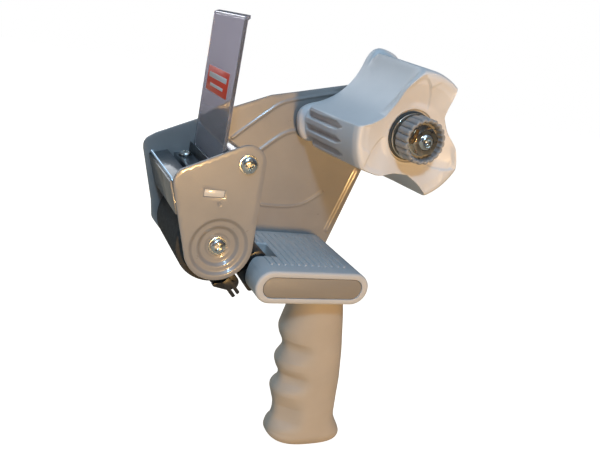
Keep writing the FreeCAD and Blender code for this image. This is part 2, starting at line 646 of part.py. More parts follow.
# ---------------------------------------------------------------- grip
# Each row is height, front edge and back edge of the grip's side profile.
GRIP_ROWS = [
    (-98.2, -31.5, -3.4), (-105.0, -32.0, -1.5), (-112.0, -32.8, 0.4), (-118.0, -33.8, 1.8),
    (-124.0, -35.2, 3.2), (-128.5, -35.9, 4.1), (-133.0, -34.6, 5.0), (-137.5, -32.2, 5.9),
    (-141.0, -31.6, 6.5), (-146.0, -33.2, 7.4), (-150.0, -34.4, 8.1), (-154.5, -33.0, 8.7),
    (-159.0, -30.6, 9.3), (-163.0, -30.9, 9.7), (-167.0, -33.0, 10.1), (-170.0, -33.6, 10.4),
    (-175.0, -32.0, 10.7), (-181.0, -30.0, 11.1), (-187.0, -29.6, 11.8), (-192.0, -30.8, 13.6),
    (-197.5, -32.2, 17.2), (-201.0, -31.4, 18.7), (-204.5, -27.5, 18.0), (-208.0, -19.5, 14.5),
]
GRIP_MID = -4.0
GRIP_HALF = 15.0


def grip_half(z):
    """Half thickness of the grip across the tool at height z."""
    foot = max(0.0, (-200.0 - z) / 13.0)
    neck = max(0.0, (z + 112.0) / 15.0)
    return GRIP_HALF * math.sqrt(max(0.05, 1 - 0.62 * foot * foot)) - 0.6 * neck


def grip_section(z, front, back):
    """Closed smooth section: a rounded rectangle, blunter at the back than at the fingers."""
    centre = (front + back) / 2
    reach = (back - front) / 2
    half = grip_half(z)
    ring = []
    for i in range(24):
        angle = 2 * math.pi * i / 24
        cosine, sine = math.cos(angle), math.sin(angle)
        power = 0.80 if cosine > 0 else 0.92
        x = centre + reach * math.copysign(abs(cosine) ** power, cosine)
        y = GRIP_MID + half * math.copysign(abs(sine) ** 0.78, sine)
        ring.append(Vector(x, y, z))
    curve = Part.BSplineCurve()
    curve.interpolate(Points=ring, PeriodicFlag=True)
    return Part.Wire(curve.toShape())


grip_solid = doc.addObject("Part::Feature", "grip_solid")
grip_solid.Shape = Part.makeLoft([grip_section(*row) for row in GRIP_ROWS], True, False)
grip_slot = doc.addObject("Part::Box", "grip_slot")
grip_slot.Length = TANG["right"] - TANG["left"]
grip_slot.Width = TANG["back"] - TANG["front"]
grip_slot.Height = -97.0 - TANG["foot"]
grip_slot.Placement = Placement(Vector(TANG["left"], TANG["front"], TANG["foot"]), Rotation())
grip = doc.addObject("Part::Cut", "grip_cut")
grip.Base = grip_solid
grip.Tool = grip_slot
node(grip, "handle_grip")

# ---------------------------------------------------------------- release lever in the shelf notch
lever = new_body("release_lever_body")
LEVER_LOW, LEVER_HIGH = NOTCH[1] + 0.8, NOTCH[3] - 0.6
pad_y(lever, LEVER_LOW, LEVER_HIGH, hull([(*LEVER, 4.2), (LEVER[0] - 1.4, LEVER[1] + 5.8, 5.4)]))
LEVER_BEND = (LEVER[0] - 8.9, LEVER[1] - 2.9, 2.2)
LEVER_TAIL = (LEVER[0] - 2.7, LEVER[1] - 10.4, 2.2)
pad_y(lever, LEVER_LOW, LEVER_HIGH, hull([LEVER_BEND, (*LEVER, 3.6)]))
pad_y(lever, LEVER_LOW, LEVER_LOW + 5.0, hull([LEVER_BEND, LEVER_TAIL]))
pocket_y(lever, LEVER_LOW - 1, LEVER_HIGH + 1, disc(*LEVER, P["lever_pin"] + 0.06))
node(lever, "release_lever")
node(tube("lever_pin_rod", "lever_pin", 0, NOTCH[1] - 5.9, NOTCH[3] + 4.9, *LEVER), "lever_pin")

# ---------------------------------------------------------------- hub spindle, spacer and nut
SPINDLE_TIP = -51.7
node(turned("hub_spindle_body", [
    (0, SPINDLE_TIP), (P["spindle_radius"] - 0.8, SPINDLE_TIP),
    (P["spindle_radius"], SPINDLE_TIP + 0.8), (P["spindle_radius"], FRAME_OUT),
    (7.2, FRAME_OUT), (7.2, FRAME_OUT + 3.4), (6.2, FRAME_OUT + 4.4), (0, FRAME_OUT + 4.4),
]), "hub_spindle")
SPACER_FRONT = 19.3
node(tube("hub_spacer_tube", 7.5, P["spindle_radius"], SPACER_FRONT, FRAME_IN - 3.2, 0, 0), "hub_spacer")


def hexagon(across, centre=(0.0, 0.0)):
    corner = across / math.sqrt(3)
    ring = [math.radians(60 * i) for i in range(6)]
    return polygon([(centre[0] + corner * math.cos(a), centre[1] + corner * math.sin(a)) for a in ring])


flange_nut = new_body("hub_clamp_nut_body")
pad_y(flange_nut, FRAME_IN - 3.2, FRAME_IN, hexagon(13.0), disc(0, 0, P["spindle_radius"]))
node(flange_nut, "hub_clamp_nut")

# ---------------------------------------------------------------- tape core hub with three lobes
LOBES = (76.0, 196.0, 316.0)
RECESS_RADIUS, RECESS_FLOOR = 14.0, -34.5
DISH_FLOOR = P["hub_front"] + P["hub_dish"]
hub_blank = turned("hub_blank", [
    (0, DISH_FLOOR), (RECESS_RADIUS + 1.4, DISH_FLOOR), (27.5, P["hub_front"] + 0.3),
    (30.6, P["hub_front"]), (33.2, P["hub_front"] + 0.9), (34.9, P["hub_front"] + 3.4),
    (P["hub_radius"], 19.0), (P["hub_radius"] + 2.6, 20.6), (P["hub_radius"] + 2.9, P["hub_back"]),
    (0, P["hub_back"]),
])


def valleys(name, extra):
    """Three cylinders that hollow out the hub between its lobes."""
    cutters = []
    for i, lobe in enumerate(LOBES):
        angle = math.radians(lobe + 60.0)
        cutter = doc.addObject("Part::Cylinder", "%s_%d" % (name, i))
        cutter.setExpression("Radius", "Params.valley_radius + %g" % extra)
        cutter.Height = 80.0
        place = Vector(P["valley_offset"] * math.cos(angle), -45, P["valley_offset"] * math.sin(angle))
        cutter.Placement = Placement(place, ALONG_Y)
        cutters.append(cutter)
    return group(name, cutters)


hub_outside = doc.addObject("Part::Cut", "hub_outside")
hub_outside.Base = hub_blank
hub_outside.Tool = valleys("hub_valleys", 0.0)
WALL = 2.8
cavity_blank = turned("cavity_blank", [
    (12.0, -31.0), (17.4, -31.0), (17.4, -33.2), (31.0, -37.2), (P["hub_radius"] - WALL, 19.0),
    (P["hub_radius"] - WALL + 0.4, 26.0), (0, 26.0), (0, 19.0), (12.0, 19.0),
])
cavity = doc.addObject("Part::Cut", "hub_cavity")
cavity.Base = cavity_blank
cavity.Tool = valleys("cavity_valleys", WALL)
recess = tube("hub_recess", RECESS_RADIUS, 0, P["hub_front"] - 1, RECESS_FLOOR, 0, 0)
hub_bore = tube("hub_bore", "bush_radius", 0, -40, 30, 0, 0)
grooves = []
for lobe in LOBES:
    spin = Rotation(Vector(0, 1, 0), -lobe)
    for offset in (-7.4, 0.0, 7.4):
        groove = doc.addObject("Part::Box", "lobe_groove")
        groove.Length = 10.0
        groove.Width = 40.0
        groove.Height = 3.4
        corner = spin.multVec(Vector(35.5, 0, offset - 1.7))
        groove.Placement = Placement(Vector(corner.x, -22.0, corner.z), spin)
        grooves.append(groove)
hub_tools = doc.addObject("Part::MultiFuse", "hub_tools")
hub_tools.Shapes = [cavity, recess, hub_bore] + grooves
hub = doc.addObject("Part::Cut", "hub_cut")
hub.Base = hub_outside
hub.Tool = hub_tools
node(hub, "hub_core")
node(tube("hub_bush_tube", "bush_radius", P["spindle_radius"] + 0.05, RECESS_FLOOR, 19.0, 0, 0), "hub_bush")

# ---------------------------------------------------------------- brake stack and knob
node(tube("friction_disc", 13.0, P["spindle_radius"] + 0.3, -35.7, RECESS_FLOOR, 0, 0), "friction_washer")
node(tube("thrust_disc", 12.2, P["spindle_radius"], -37.4, -36.0, 0, 0), "thrust_washer")
node(spring("brake_spring", 6.6, 1.2, 2.0, 2.75, -43.6, 0, 0), "brake_spring")

knob_back = P["knob_front"] + P["knob_depth"]
WEB_FRONT, WEB_BACK = -45.4, -44.3            # the web that rides on the spindle
knob = turned("tension_knob_body", [
    (P["spindle_radius"] + 0.06, WEB_BACK), (9.2, WEB_BACK), (9.2, knob_back),
    (P["knob_radius"], knob_back), (P["knob_radius"], P["knob_front"] + 0.8),
    (P["knob_radius"] - 0.8, P["knob_front"]), (9.4, P["knob_front"]), (9.4, WEB_FRONT),
    (P["spindle_radius"] + 0.06, WEB_FRONT),
])
flute = sketch(knob, "XZ_Plane", 30.0, disc(P["knob_radius"] + 0.5, 0, 1.15))
flute_cut = feature(knob, "Pocket", flute, 40.0)
flute_cut.Reversed = True
flutes = knob.newObject("PartDesign::PolarPattern", "knob_flutes")
flutes.Originals = [flute_cut]
flutes.Axis = (flute, ["N_Axis"])
flutes.Angle = 360.0
flutes.Occurrences = 20
knob.Tip = flutes
node(knob, "tension_knob")

NUT_BACK = -46.2
node(tube("knob_washer_disc", 8.2, P["spindle_radius"], NUT_BACK, NUT_BACK + 0.7, 0, 0), "knob_washer")
lock = new_body("knob_lock_nut_body")
pad_y(lock, NUT_BACK - 4.3, NUT_BACK, hexagon(13.0), disc(0, 0, P["spindle_radius"]))
node(lock, "knob_lock_nut")

# ---------------------------------------------------------------- recompute, test and export
doc.recompute()
problems = []
for obj in doc.Objects:
    if "Invalid" in obj.State or "Error" in obj.State:
        problems.append("%s: %s" % (obj.Label, obj.State))
for obj in NODES:
    shape = obj.Shape
    if shape.isNull() or not shape.isValid() or shape.Volume <= 0:
        problems.append("%s: bad shape" % obj.Label)
if problems:
    raise RuntimeError("; ".join(problems))
for obj in NODES:
    obj.Shape.exportStep("parts/%s.step" % obj.Label)
    print("%-22s %10.1f mm3  %d solid(s)" % (obj.Label, obj.Shape.Volume, len(obj.Shape.Solids)))
print("nodes: %d" % len(NODES))
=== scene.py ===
import math

import bmesh
import bpy
import numpy as np
from mathutils import Matrix, Vector
from mathutils.geometry import delaunay_2d_cdt


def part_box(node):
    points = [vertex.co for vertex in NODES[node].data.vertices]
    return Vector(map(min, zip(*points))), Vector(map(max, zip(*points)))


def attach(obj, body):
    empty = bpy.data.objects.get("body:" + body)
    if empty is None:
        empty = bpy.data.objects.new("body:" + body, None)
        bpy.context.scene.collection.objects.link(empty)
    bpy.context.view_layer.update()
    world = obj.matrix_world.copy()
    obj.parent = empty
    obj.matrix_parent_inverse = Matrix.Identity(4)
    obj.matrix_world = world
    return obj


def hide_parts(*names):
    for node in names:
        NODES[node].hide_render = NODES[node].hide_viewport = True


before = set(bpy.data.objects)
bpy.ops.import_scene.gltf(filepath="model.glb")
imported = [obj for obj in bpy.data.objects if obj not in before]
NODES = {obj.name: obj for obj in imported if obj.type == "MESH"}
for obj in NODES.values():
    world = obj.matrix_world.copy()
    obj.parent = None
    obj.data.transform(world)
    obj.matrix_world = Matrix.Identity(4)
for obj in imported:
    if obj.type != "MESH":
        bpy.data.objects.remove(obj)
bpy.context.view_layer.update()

# Pistol-grip tape dispenser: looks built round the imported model.
# Sizes are millimetres in the model's frame: origin on the hub axis half-way across the
# tape, -X forward, +Y from the front side plate to the frame plate, +Z up. Lights and
# camera are placed in metres.
MM = 0.001


def mm_box(node):
    low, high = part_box(node)
    return low / MM, high / MM


def axis_of(node):
    """Centre (x, z) of a node's box, for parts turned about an axis along Y."""
    low, high = mm_box(node)
    return (low.x + high.x) / 2, (low.z + high.z) / 2


# Mesh helpers
def new_object(name, mesh):
    obj = bpy.data.objects.new(name, mesh)
    bpy.context.scene.collection.objects.link(obj)
    return obj


def mesh_object(name, verts, faces, sharp=35.0):
    """Object from millimetre vertices, smooth except at edges sharper than `sharp` degrees."""
    mesh = bpy.data.meshes.new(name)
    mesh.from_pydata([(x * MM, y * MM, z * MM) for x, y, z in verts], [], faces)
    mesh.validate()
    tidy_mesh(mesh, sharp)
    return new_object(name, mesh)


def shade(mesh, sharp):
    mesh.shade_smooth()
    mesh.set_sharp_from_angle(angle=math.radians(sharp))


def tidy_mesh(mesh, sharp, merge=1e-7):
    """Welds doubled points, turns every face outwards and shades the mesh."""
    work = bmesh.new()
    work.from_mesh(mesh)
    bmesh.ops.remove_doubles(work, verts=work.verts, dist=merge)
    bmesh.ops.recalc_face_normals(work, faces=work.faces)
    work.to_mesh(mesh)
    work.free()
    shade(mesh, sharp)


def finish(obj, body, node, material, replaces=True):
    """Rides a piece on its body, gives it its material, and lets it stand for its node."""
    obj.data.materials.clear()
    obj.data.materials.append(material)
    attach(obj, body)
    if replaces:
        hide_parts(node)


def baked(obj):
    """Applies an object's modifiers to its own mesh."""
    bpy.context.view_layer.update()
    depsgraph = bpy.context.evaluated_depsgraph_get()
    mesh = bpy.data.meshes.new_from_object(obj.evaluated_get(depsgraph))
    obj.modifiers.clear()
    obj.data = mesh


def cut_away(target, tool, sharp):
    """Cuts the tool's shape out of the target and deletes the tool."""
    modifier = target.modifiers.new("cut", "BOOLEAN")
    modifier.operation = "DIFFERENCE"
    modifier.solver = "EXACT"
    modifier.object = tool
    baked(target)
    bpy.data.objects.remove(tool)
    tidy_mesh(target.data, sharp, 1e-6)


def mesh_only(obj):
    """Takes the mesh out of a helper object."""
    mesh = obj.data
    bpy.data.objects.remove(obj)
    return mesh


def joined(name, meshes):
    """One object from (mesh, matrix) pairs."""
    work = bmesh.new()
    for mesh, matrix in meshes:
        copy = mesh.copy()
        copy.transform(matrix)
        work.from_mesh(copy)
        bpy.data.meshes.remove(copy)
    mesh = bpy.data.meshes.new(name)
    work.to_mesh(mesh)
    work.free()
    shade(mesh, 30.0)
    return new_object(name, mesh)


def round_angles(count):
    return [2 * math.pi * k / count for k in range(count)]


def sides(loop):
    """Pairs of neighbouring points round a closed outline."""
    return zip(loop, loop[1:] + loop[:1])


def smoothstep(low, high, value):
    t = min(1.0, max(0.0, (value - low) / (high - low)))
    return t * t * (3 - 2 * t)


def soften(points, radius, steps=4, closed=True):
    """Rounds every corner of a polyline in the plane by about `radius`."""
    out = []
    count = len(points)
    for i, point in enumerate(points):
        if not closed and i in (0, count - 1):
            out.append(tuple(point))
            continue
        here = Vector(point)
        before = Vector(points[i - 1])
        after = Vector(points[(i + 1) % count])
        back, ahead = before - here, after - here
        reach = min(radius, back.length * 0.45, ahead.length * 0.45)
        start = here + back.normalized() * reach
        end = here + ahead.normalized() * reach
        for k in range(steps + 1):
            t = k / steps
            out.append(tuple(start * (1 - t) ** 2 + here * (2 * t * (1 - t)) + end * t ** 2))
    return out


def lofted(name, rings, sharp=35.0, loop=False):
    """Skin through rings of equal point count, closed by end faces or running round in a loop."""
    count = len(rings[0])
    verts = [point for ring in rings for point in ring]
    faces = []
    for i in range(len(rings) if loop else len(rings) - 1):
        low, high = i * count, (i + 1) % len(rings) * count
        for k in range(count):
            nxt = (k + 1) % count
            faces.append((low + k, low + nxt, high + nxt, high + k))
    if not loop:
        last = len(verts) - count
        faces += [tuple(range(count)), tuple(range(last, last + count))]
    return mesh_object(name, verts, faces, sharp)


def turned(name, profile, x=0.0, z=0.0, segments=96, hollow=True, sharp=35.0):
    """Solid turned about an axis along Y from a (radius, y) profile; hollow profiles close up."""
    rings = [[(x + radius * math.cos(a), y, z + radius * math.sin(a)) for a in round_angles(segments)]
             for radius, y in profile]
    return lofted(name, rings, sharp, loop=hollow)


def signed_area(loop):
    return sum(x0 * y1 - x1 * y0 for (x0, y0), (x1, y1) in sides(loop)) / 2


def inset_loop(loop, distance):
    """Moves a closed outline to the side of the material by `distance`."""
    turn = 1.0 if signed_area(loop) > 0 else -1.0
    out = []
    for i, point in enumerate(loop):
        here = Vector(point)
        into = (here - Vector(loop[i - 1])).normalized()
        leave = (Vector(loop[(i + 1) % len(loop)]) - here).normalized()
        normal = Vector((-(into.y + leave.y), into.x + leave.x)) * turn
        if into.length and leave.length and normal.length > 1e-9:
            normal.normalize()
            spread = max(0.5, normal.dot(Vector((-into.y, into.x)) * turn))
            here = here + normal * (distance / spread)
        out.append(tuple(here))
    return out


def bevelled(node, width, body, material):
    """Copy of a hard-edged CAD node with its edges rounded, standing in for the node."""
    work = bmesh.new()
    work.from_mesh(NODES[node].data)
    bmesh.ops.remove_doubles(work, verts=work.verts, dist=2e-6)
    bmesh.ops.dissolve_limit(work, angle_limit=math.radians(0.6), verts=work.verts, edges=work.edges)
    verts = [tuple(v.co / MM) for v in work.verts]
    work.verts.ensure_lookup_table()
    faces = [tuple(v.index for v in f.verts) for f in work.faces]
    work.free()
    obj = mesh_object(node + "_body", verts, faces)
    modifier = obj.modifiers.new("edges", "BEVEL")
    modifier.width = width * MM
    modifier.segments = 2
    modifier.limit_method = "ANGLE"
    modifier.angle_limit = math.radians(30.0)
    modifier.use_clamp_overlap = True
    baked(obj)
    shade(obj.data, 32.0)
    finish(obj, body, node, material)


# Materials
def add_node(tree, kind, **inputs):
    """New shader node; each named input takes a value or another node's output."""
    node = tree.nodes.new("ShaderNode" + kind)
    for name, value in inputs.items():
        socket = node.inputs[name.replace("_", " ")]
        if isinstance(value, bpy.types.NodeSocket):
            tree.links.new(value, socket)
        else:
            socket.default_value = value
    return node


def mixed_shader(tree, factor, usual, other):
    node = add_node(tree, "MixShader", Fac=factor)
    tree.links.new(usual, node.inputs[1])
    tree.links.new(other, node.inputs[2])
    return node.outputs[0]


class Surface:
    """A Principled material with short helpers for its procedural detail."""

    def __init__(self, name, metallic=0.0, **sockets):
        self.material = bpy.data.materials.new(name)
        self.material.use_nodes = True
        self.tree = self.material.node_tree
        self.shader = self.tree.nodes["Principled BSDF"]
        self.shader.inputs["Metallic"].default_value = metallic
        for socket, value in sockets.items():
            self.shader.inputs[socket.replace("_", " ")].default_value = value
        self.place = add_node(self.tree, "TexCoord").outputs["Object"]

    def noise(self, per_mm, detail=3.0, roughness=0.5, stretch=None):
        """Noise whose cells are about 1 / per_mm millimetres across."""
        place = self.place
        if stretch:
            place = add_node(self.tree, "Mapping", Scale=stretch, Vector=place).outputs["Vector"]
        return add_node(self.tree, "TexNoise", Scale=per_mm / MM, Detail=detail, Roughness=roughness,
                        Vector=place).outputs["Fac"]

    def span(self, value, low, high, to_low=0.0, to_high=1.0):
        return add_node(self.tree, "MapRange", From_Min=low, From_Max=high, To_Min=to_low,
                        To_Max=to_high, Value=value).outputs["Result"]

    def mix(self, factor, first, second):
        node = self.tree.nodes.new("ShaderNodeMix")
        node.data_type = "RGBA"
        self.tree.links.new(factor, node.inputs["Factor"])
        for socket, colour in (("A", first), ("B", second)):
            target = next(s for s in node.inputs if s.name == socket and s.type == "RGBA")
            if isinstance(colour, tuple):
                target.default_value = (*colour, 1.0)
            else:
                self.tree.links.new(colour, target)
        return next(s for s in node.outputs if s.type == "RGBA")

    def colour(self, value):
        self.tree.links.new(value, self.shader.inputs["Base Color"])

    def rough(self, value, low, high):
        self.tree.links.new(self.span(value, 0.25, 0.75, low, high), self.shader.inputs["Roughness"])

    def bump(self, height, depth, strength=1.0, **below):
        """Bump of `depth` millimetres; Normal= takes an earlier bump's result."""
        node = add_node(self.tree, "Bump", Strength=strength, Distance=depth * MM, Height=height, **below)
        self.tree.links.new(node.outputs["Normal"], self.shader.inputs["Normal"])
        return node.outputs["Normal"]


def enamel(name, base, dark, coat=0.55):
    """Baked enamel on sheet steel: faint orange peel, dust, small scuffs."""
    look = Surface(name, Specular_IOR_Level=0.65, Coat_Weight=coat, Coat_Roughness=0.10)
    toned = look.mix(look.span(look.noise(0.035, 4.0, 0.6), 0.3, 0.7), dark, base)
    scuff = look.span(look.noise(0.9, 5.0, 0.7, (1.0, 1.0, 0.25)), 0.66, 0.78, 0.0, 0.35)
    pale = tuple(min(1.0, c * 1.35 + 0.03) for c in base)
    look.colour(look.mix(scuff, toned, pale))
    look.rough(look.noise(0.12, 4.0, 0.6), 0.26, 0.42)
    peel = look.bump(look.noise(0.55, 2.0, 0.5), 0.02, 0.35)
    look.bump(look.noise(4.0, 2.0, 0.5), 0.004, 0.3, Normal=peel)
    return look.material


def enamel_with_painted_shade(name, base, black, split):
    """Baked enamel whose far part, past y = split, carries painted shade: near-black over a short wavering
    edge.
    """
    look = Surface(name, Specular_IOR_Level=0.6, Coat_Weight=0.4, Coat_Roughness=0.12)
    across = add_node(look.tree, "SeparateXYZ", Vector=look.place).outputs["Y"]
    shade_edge = look.tree.nodes.new("ShaderNodeMath")
    shade_edge.operation = "ADD"
    look.tree.links.new(across, shade_edge.inputs[0])
    look.tree.links.new(look.span(look.noise(0.25), 0.3, 0.7, -1.2 * MM, 1.2 * MM), shade_edge.inputs[1])
    # Painted shade: past the noisy edge the colour turns to the near-black shade colour.
    past = look.span(shade_edge.outputs["Value"], (split - 0.8) * MM, (split + 0.8) * MM)
    cloud = look.mix(look.span(look.noise(0.06, 4.0), 0.3, 0.7), tuple(c * 0.8 for c in base), base)
    look.colour(look.mix(past, cloud, black))
    look.rough(look.noise(0.12, 4.0, 0.6), 0.28, 0.45)
    look.bump(look.noise(0.55, 2.0, 0.5), 0.02, 0.35)
    return look.material


def plated(name, base, tint, low=0.14, high=0.34, brushed=(1.0, 1.0, 1.0)):
    """Bright plated steel with a thin yellow-blue cast and fine handling marks."""
    look = Surface(name, metallic=1.0)
    look.colour(look.mix(look.span(look.noise(0.25, 3.0, 0.55), 0.35, 0.65), base, tint))
    look.rough(look.noise(0.8, 4.0, 0.65, brushed), low, high)
    look.bump(look.noise(1.6, 4.0, 0.6, brushed), 0.012, 0.4)
    return look.material


def moulded(name, base, dark, grain=1.6, depth=0.02, low=0.38, high=0.55, dirt=0.25):
    """Moulded plastic: fine texture, faint handling tone, specks of dirt."""
    look = Surface(name, Specular_IOR_Level=0.45)
    toned = look.mix(look.span(look.noise(0.03, 4.0, 0.6), 0.3, 0.7), dark, base)
    speck = look.span(look.noise(2.2, 3.0, 0.7), 0.7, 0.8, 0.0, dirt)
    look.colour(look.mix(speck, toned, tuple(c * 0.62 for c in base)))
    look.rough(look.noise(0.15, 4.0, 0.6), low, high)
    fine = look.bump(look.noise(grain, 3.0, 0.6), depth, 0.45)
    look.bump(look.noise(0.12, 2.0, 0.5), 0.06, 0.25, Normal=fine)
    return look.material


def rubber(name, base):
    """Black rubber with a ground surface and pale dust."""
    look = Surface(name, Specular_IOR_Level=0.35)
    dust = look.span(look.noise(0.5, 5.0, 0.7), 0.5, 0.75, 0.0, 0.5)
    look.colour(look.mix(dust, base, tuple(c * 1.8 + 0.02 for c in base)))
    look.rough(look.noise(0.3, 4.0, 0.6), 0.55, 0.75)
    look.bump(look.noise(3.0, 3.0, 0.6, (1.0, 0.3, 1.0)), 0.03, 0.5)
    return look.material


def clear_plastic(name):
    """Smoked clear sheet with hairline scratches and finger haze."""
    look = Surface(name, Transmission_Weight=0.92, IOR=1.49)
    haze = look.span(look.noise(0.05, 4.0, 0.6), 0.35, 0.7)
    look.colour(look.mix(haze, (0.90, 0.885, 0.925), (0.95, 0.94, 0.96)))
    scratch = look.noise(0.6, 4.0, 0.7, (1.0, 0.12, 1.0))
    look.rough(scratch, 0.03, 0.09)
    look.bump(scratch, 0.004, 0.2)
    return look.material


def printed(name, base, faded):
    """Printed film: slightly uneven ink under a thin gloss."""
    look = Surface(name, Specular_IOR_Level=0.5, Coat_Weight=0.2)
    look.colour(look.mix(look.span(look.noise(0.8, 4.0, 0.6), 0.35, 0.7), base, faded))
    look.rough(look.noise(0.5, 3.0, 0.6), 0.35, 0.5)
    look.bump(look.noise(2.5, 2.0, 0.5), 0.004, 0.3)
    return look.material


ENAMEL = enamel("enamel", (0.305, 0.278, 0.255), (0.265, 0.245, 0.228))
# Painted shade: a near-black copy of the plates' enamel for the cross plate and blade holder, standing in
# for the shade inside the front box.
ENAMEL_PAINTED_SHADE = enamel("enamel_inner_painted_shade", (0.055, 0.062, 0.07), (0.04, 0.045, 0.05), 0.7)
# Painted shade: the front cover's far part, past y = -9, is painted near-black where the cover lies in
# shade.
COVER_ENAMEL_PAINTED_SHADE = enamel_with_painted_shade("enamel_cover_painted_shade", (0.27, 0.235, 0.20), (0.012, 0.012, 0.013), -9.0)
PLATED = plated("plated_steel", (0.72, 0.71, 0.68), (0.66, 0.64, 0.56))
NUT_STEEL = plated("nut_steel", (0.78, 0.76, 0.72), (0.70, 0.66, 0.56), 0.08, 0.22)
# Painted reflection: the lock nut's bright plating is tinted dark gold-brown to stand in for the warm, dark
# surroundings it reflects.
LOCK_STEEL_PAINTED_REFLECTION = plated("lock_steel_painted_reflection", (0.60, 0.49, 0.36), (0.50, 0.40, 0.30), 0.06, 0.18)
BLADE_STEEL = plated("blade_steel", (0.60, 0.61, 0.62), (0.52, 0.53, 0.54), 0.2, 0.4, (1.0, 0.2, 1.0))
SHAFT_STEEL = plated("shaft_steel", (0.66, 0.66, 0.65), (0.58, 0.57, 0.54), 0.18, 0.36, (1.0, 0.15, 1.0))
SPRING_STEEL = plated("spring_steel", (0.55, 0.54, 0.52), (0.46, 0.45, 0.42), 0.2, 0.38)
TENON_STEEL = enamel("tenon_enamel", (0.72, 0.66, 0.58), (0.66, 0.60, 0.53))
HUB_PLASTIC = moulded("hub_plastic", (0.74, 0.70, 0.66), (0.70, 0.665, 0.63), 2.0, 0.012, 0.30, 0.46, 0.1)
SHELF_PLASTIC = moulded("shelf_plastic", (0.58, 0.56, 0.535), (0.54, 0.52, 0.50))
PANEL_PLASTIC = moulded("panel_plastic", (0.31, 0.265, 0.215), (0.28, 0.24, 0.195), 3.0, 0.03)
GRIP_RUBBER = moulded("grip_rubber", (0.53, 0.45, 0.36), (0.48, 0.405, 0.32), 3.2, 0.02, 0.55, 0.72, 0.15)
KNOB_PLASTIC = moulded("knob_plastic", (0.33, 0.325, 0.32), (0.29, 0.285, 0.28), 2.0, 0.015, 0.34, 0.5)
BLACK_PLASTIC = moulded("black_plastic", (0.030, 0.029, 0.028), (0.022, 0.021, 0.021), 2.0, 0.02, 0.28, 0.45)
BLACK_RUBBER = rubber("black_rubber", (0.036, 0.034, 0.031))
DARK_PLASTIC = moulded("dark_plastic", (0.05, 0.05, 0.052), (0.04, 0.04, 0.042), 2.0, 0.02)
FRICTION = moulded("friction_fibre", (0.10, 0.095, 0.085), (0.07, 0.068, 0.06), 3.0, 0.04, 0.6, 0.8)
CLEAR = clear_plastic("clear_sheet")
LABEL_RED = printed("label_red", (0.90, 0.055, 0.02), (0.95, 0.08, 0.03))
LABEL_WHITE = printed("label_white", (0.80, 0.74, 0.70), (0.72, 0.66, 0.62))


# Pressed side plates
def face_loops(node, y, tolerance=0.02):
    """Closed outlines, as (x, z) in millimetres, of the flat face of a node at height y."""
    work = bmesh.new()
    work.from_mesh(NODES[node].data)
    bmesh.ops.remove_doubles(work, verts=work.verts, dist=2e-6)
    flat = dict.fromkeys(f for f in work.faces if all(abs(v.co.y / MM - y) < tolerance for v in f.verts))
    rim = {}
    for face in flat:
        for edge in face.edges:
            if sum(f in flat for f in edge.link_faces) == 1:
                a, b = edge.verts
                rim.setdefault(a, []).append(b)
                rim.setdefault(b, []).append(a)
    loops, seen = [], set()
    for start in sorted(rim, key=lambda v: v.index):
        loop, ahead = [], [start]
        while ahead := [v for v in ahead if v not in seen]:
            here = ahead[0]
            seen.add(here)
            loop.append((here.co.x / MM, here.co.z / MM))
            ahead = rim[here]
        if loop:
            loops.append(loop)
    work.free()
    return sorted(loops, key=lambda l: -abs(signed_area(l)))


def blend(a, b, share):
    """Point in the plane, a share of the way from a to b."""
    return a[0] + (b[0] - a[0]) * share, a[1] + (b[1] - a[1]) * share


def run(a, b, parts):
    """Evenly spaced points from a up to, but not including, b."""
    return [blend(a, b, k / parts) for k in range(parts)]


def spaced(loop, step):
    """Adds points to a closed outline so that none of its edges is longer than `step`."""
    return [p for a, b in sides(loop) for p in run(a, b, max(1, int(math.dist(a, b) // step)))]


def inside(points, loop):
    """Which points lie inside a closed outline."""
    x, z = points[:, 0], points[:, 1]
    result = np.zeros(len(points), bool)
    for (x0, z0), (x1, z1) in sides(loop):
        crosses = (z0 > z) != (z1 > z)
        if crosses.any() and z0 != z1:
            result ^= crosses & (x < (x1 - x0) * (z - z0) / (z1 - z0) + x0)
    return result


def line_distance(points, line):
    best = np.full(len(points), 1e9)
    for a, b in zip(line, line[1:]):
        a, b = np.array(a, float), np.array(b, float)
        along = b - a
        length = max(1e-12, along @ along)
        t = np.clip(((points - a) @ along) / length, 0, 1)
        best = np.minimum(best, np.hypot(*(points - (a + t[:, None] * along)).T))
    return best


def clear_of(points, loop, gap):
    """Which points are further than `gap` from a closed outline."""
    return line_distance(points, loop + loop[:1]) > gap


def rectangle(x0, y0, x1, y1):
    return [(x0, y0), (x1, y0), (x1, y1), (x0, y1)]


def circle(x, z, radius, count):
    return [(x + radius * math.cos(a), z + radius * math.sin(a)) for a in round_angles(count)]


def sheet_seeds(outline, inner, steps, fine_zone):
    """Grid points inside the sheet: coarse ones, and fine ones where its pressings are."""
    low, high = np.array(outline).min(0), np.array(outline).max(0)
    seeds = []
    for step, wanted in zip(steps, (False, True)):
        nx, nz = ((high - low) / step).astype(int) + 1
        grid = np.stack(np.meshgrid(np.arange(nx) * step + low[0], np.arange(nz) * step + low[1]), -1)
        grid = grid.reshape(-1, 2)
        grid = grid[inside(grid, inner[0])]
        grid = grid[fine_zone(grid) == wanted]
        keep = clear_of(grid, inner[0], step * 0.6)
        for hole in inner[1:]:
            keep &= ~inside(grid, hole) & clear_of(grid, hole, step * 0.6)
        seeds.append(grid[keep])
    return np.concatenate(seeds)


def sheet_face(inner, seeds):
    """Triangulated flat face between the outlines: its points and its faces."""
    points = [Vector(p) for loop in inner for p in loop] + [Vector(p) for p in seeds]
    edges, start = [], 0
    for loop in inner:
        count = len(loop)
        edges += [(start + k, start + (k + 1) % count) for k in range(count)]
        start += count
    flat, _, faces, *_ = delaunay_2d_cdt(points, edges, [], 0, 1e-5)
    centres = np.array([np.mean([flat[i] for i in face], axis=0) for face in faces])
    kept = inside(centres, inner[0])
    for hole in inner[1:]:
        kept &= ~inside(centres, hole)
    return np.array([tuple(p) for p in flat]), [tuple(face) for face, keep in zip(faces, kept) if keep]


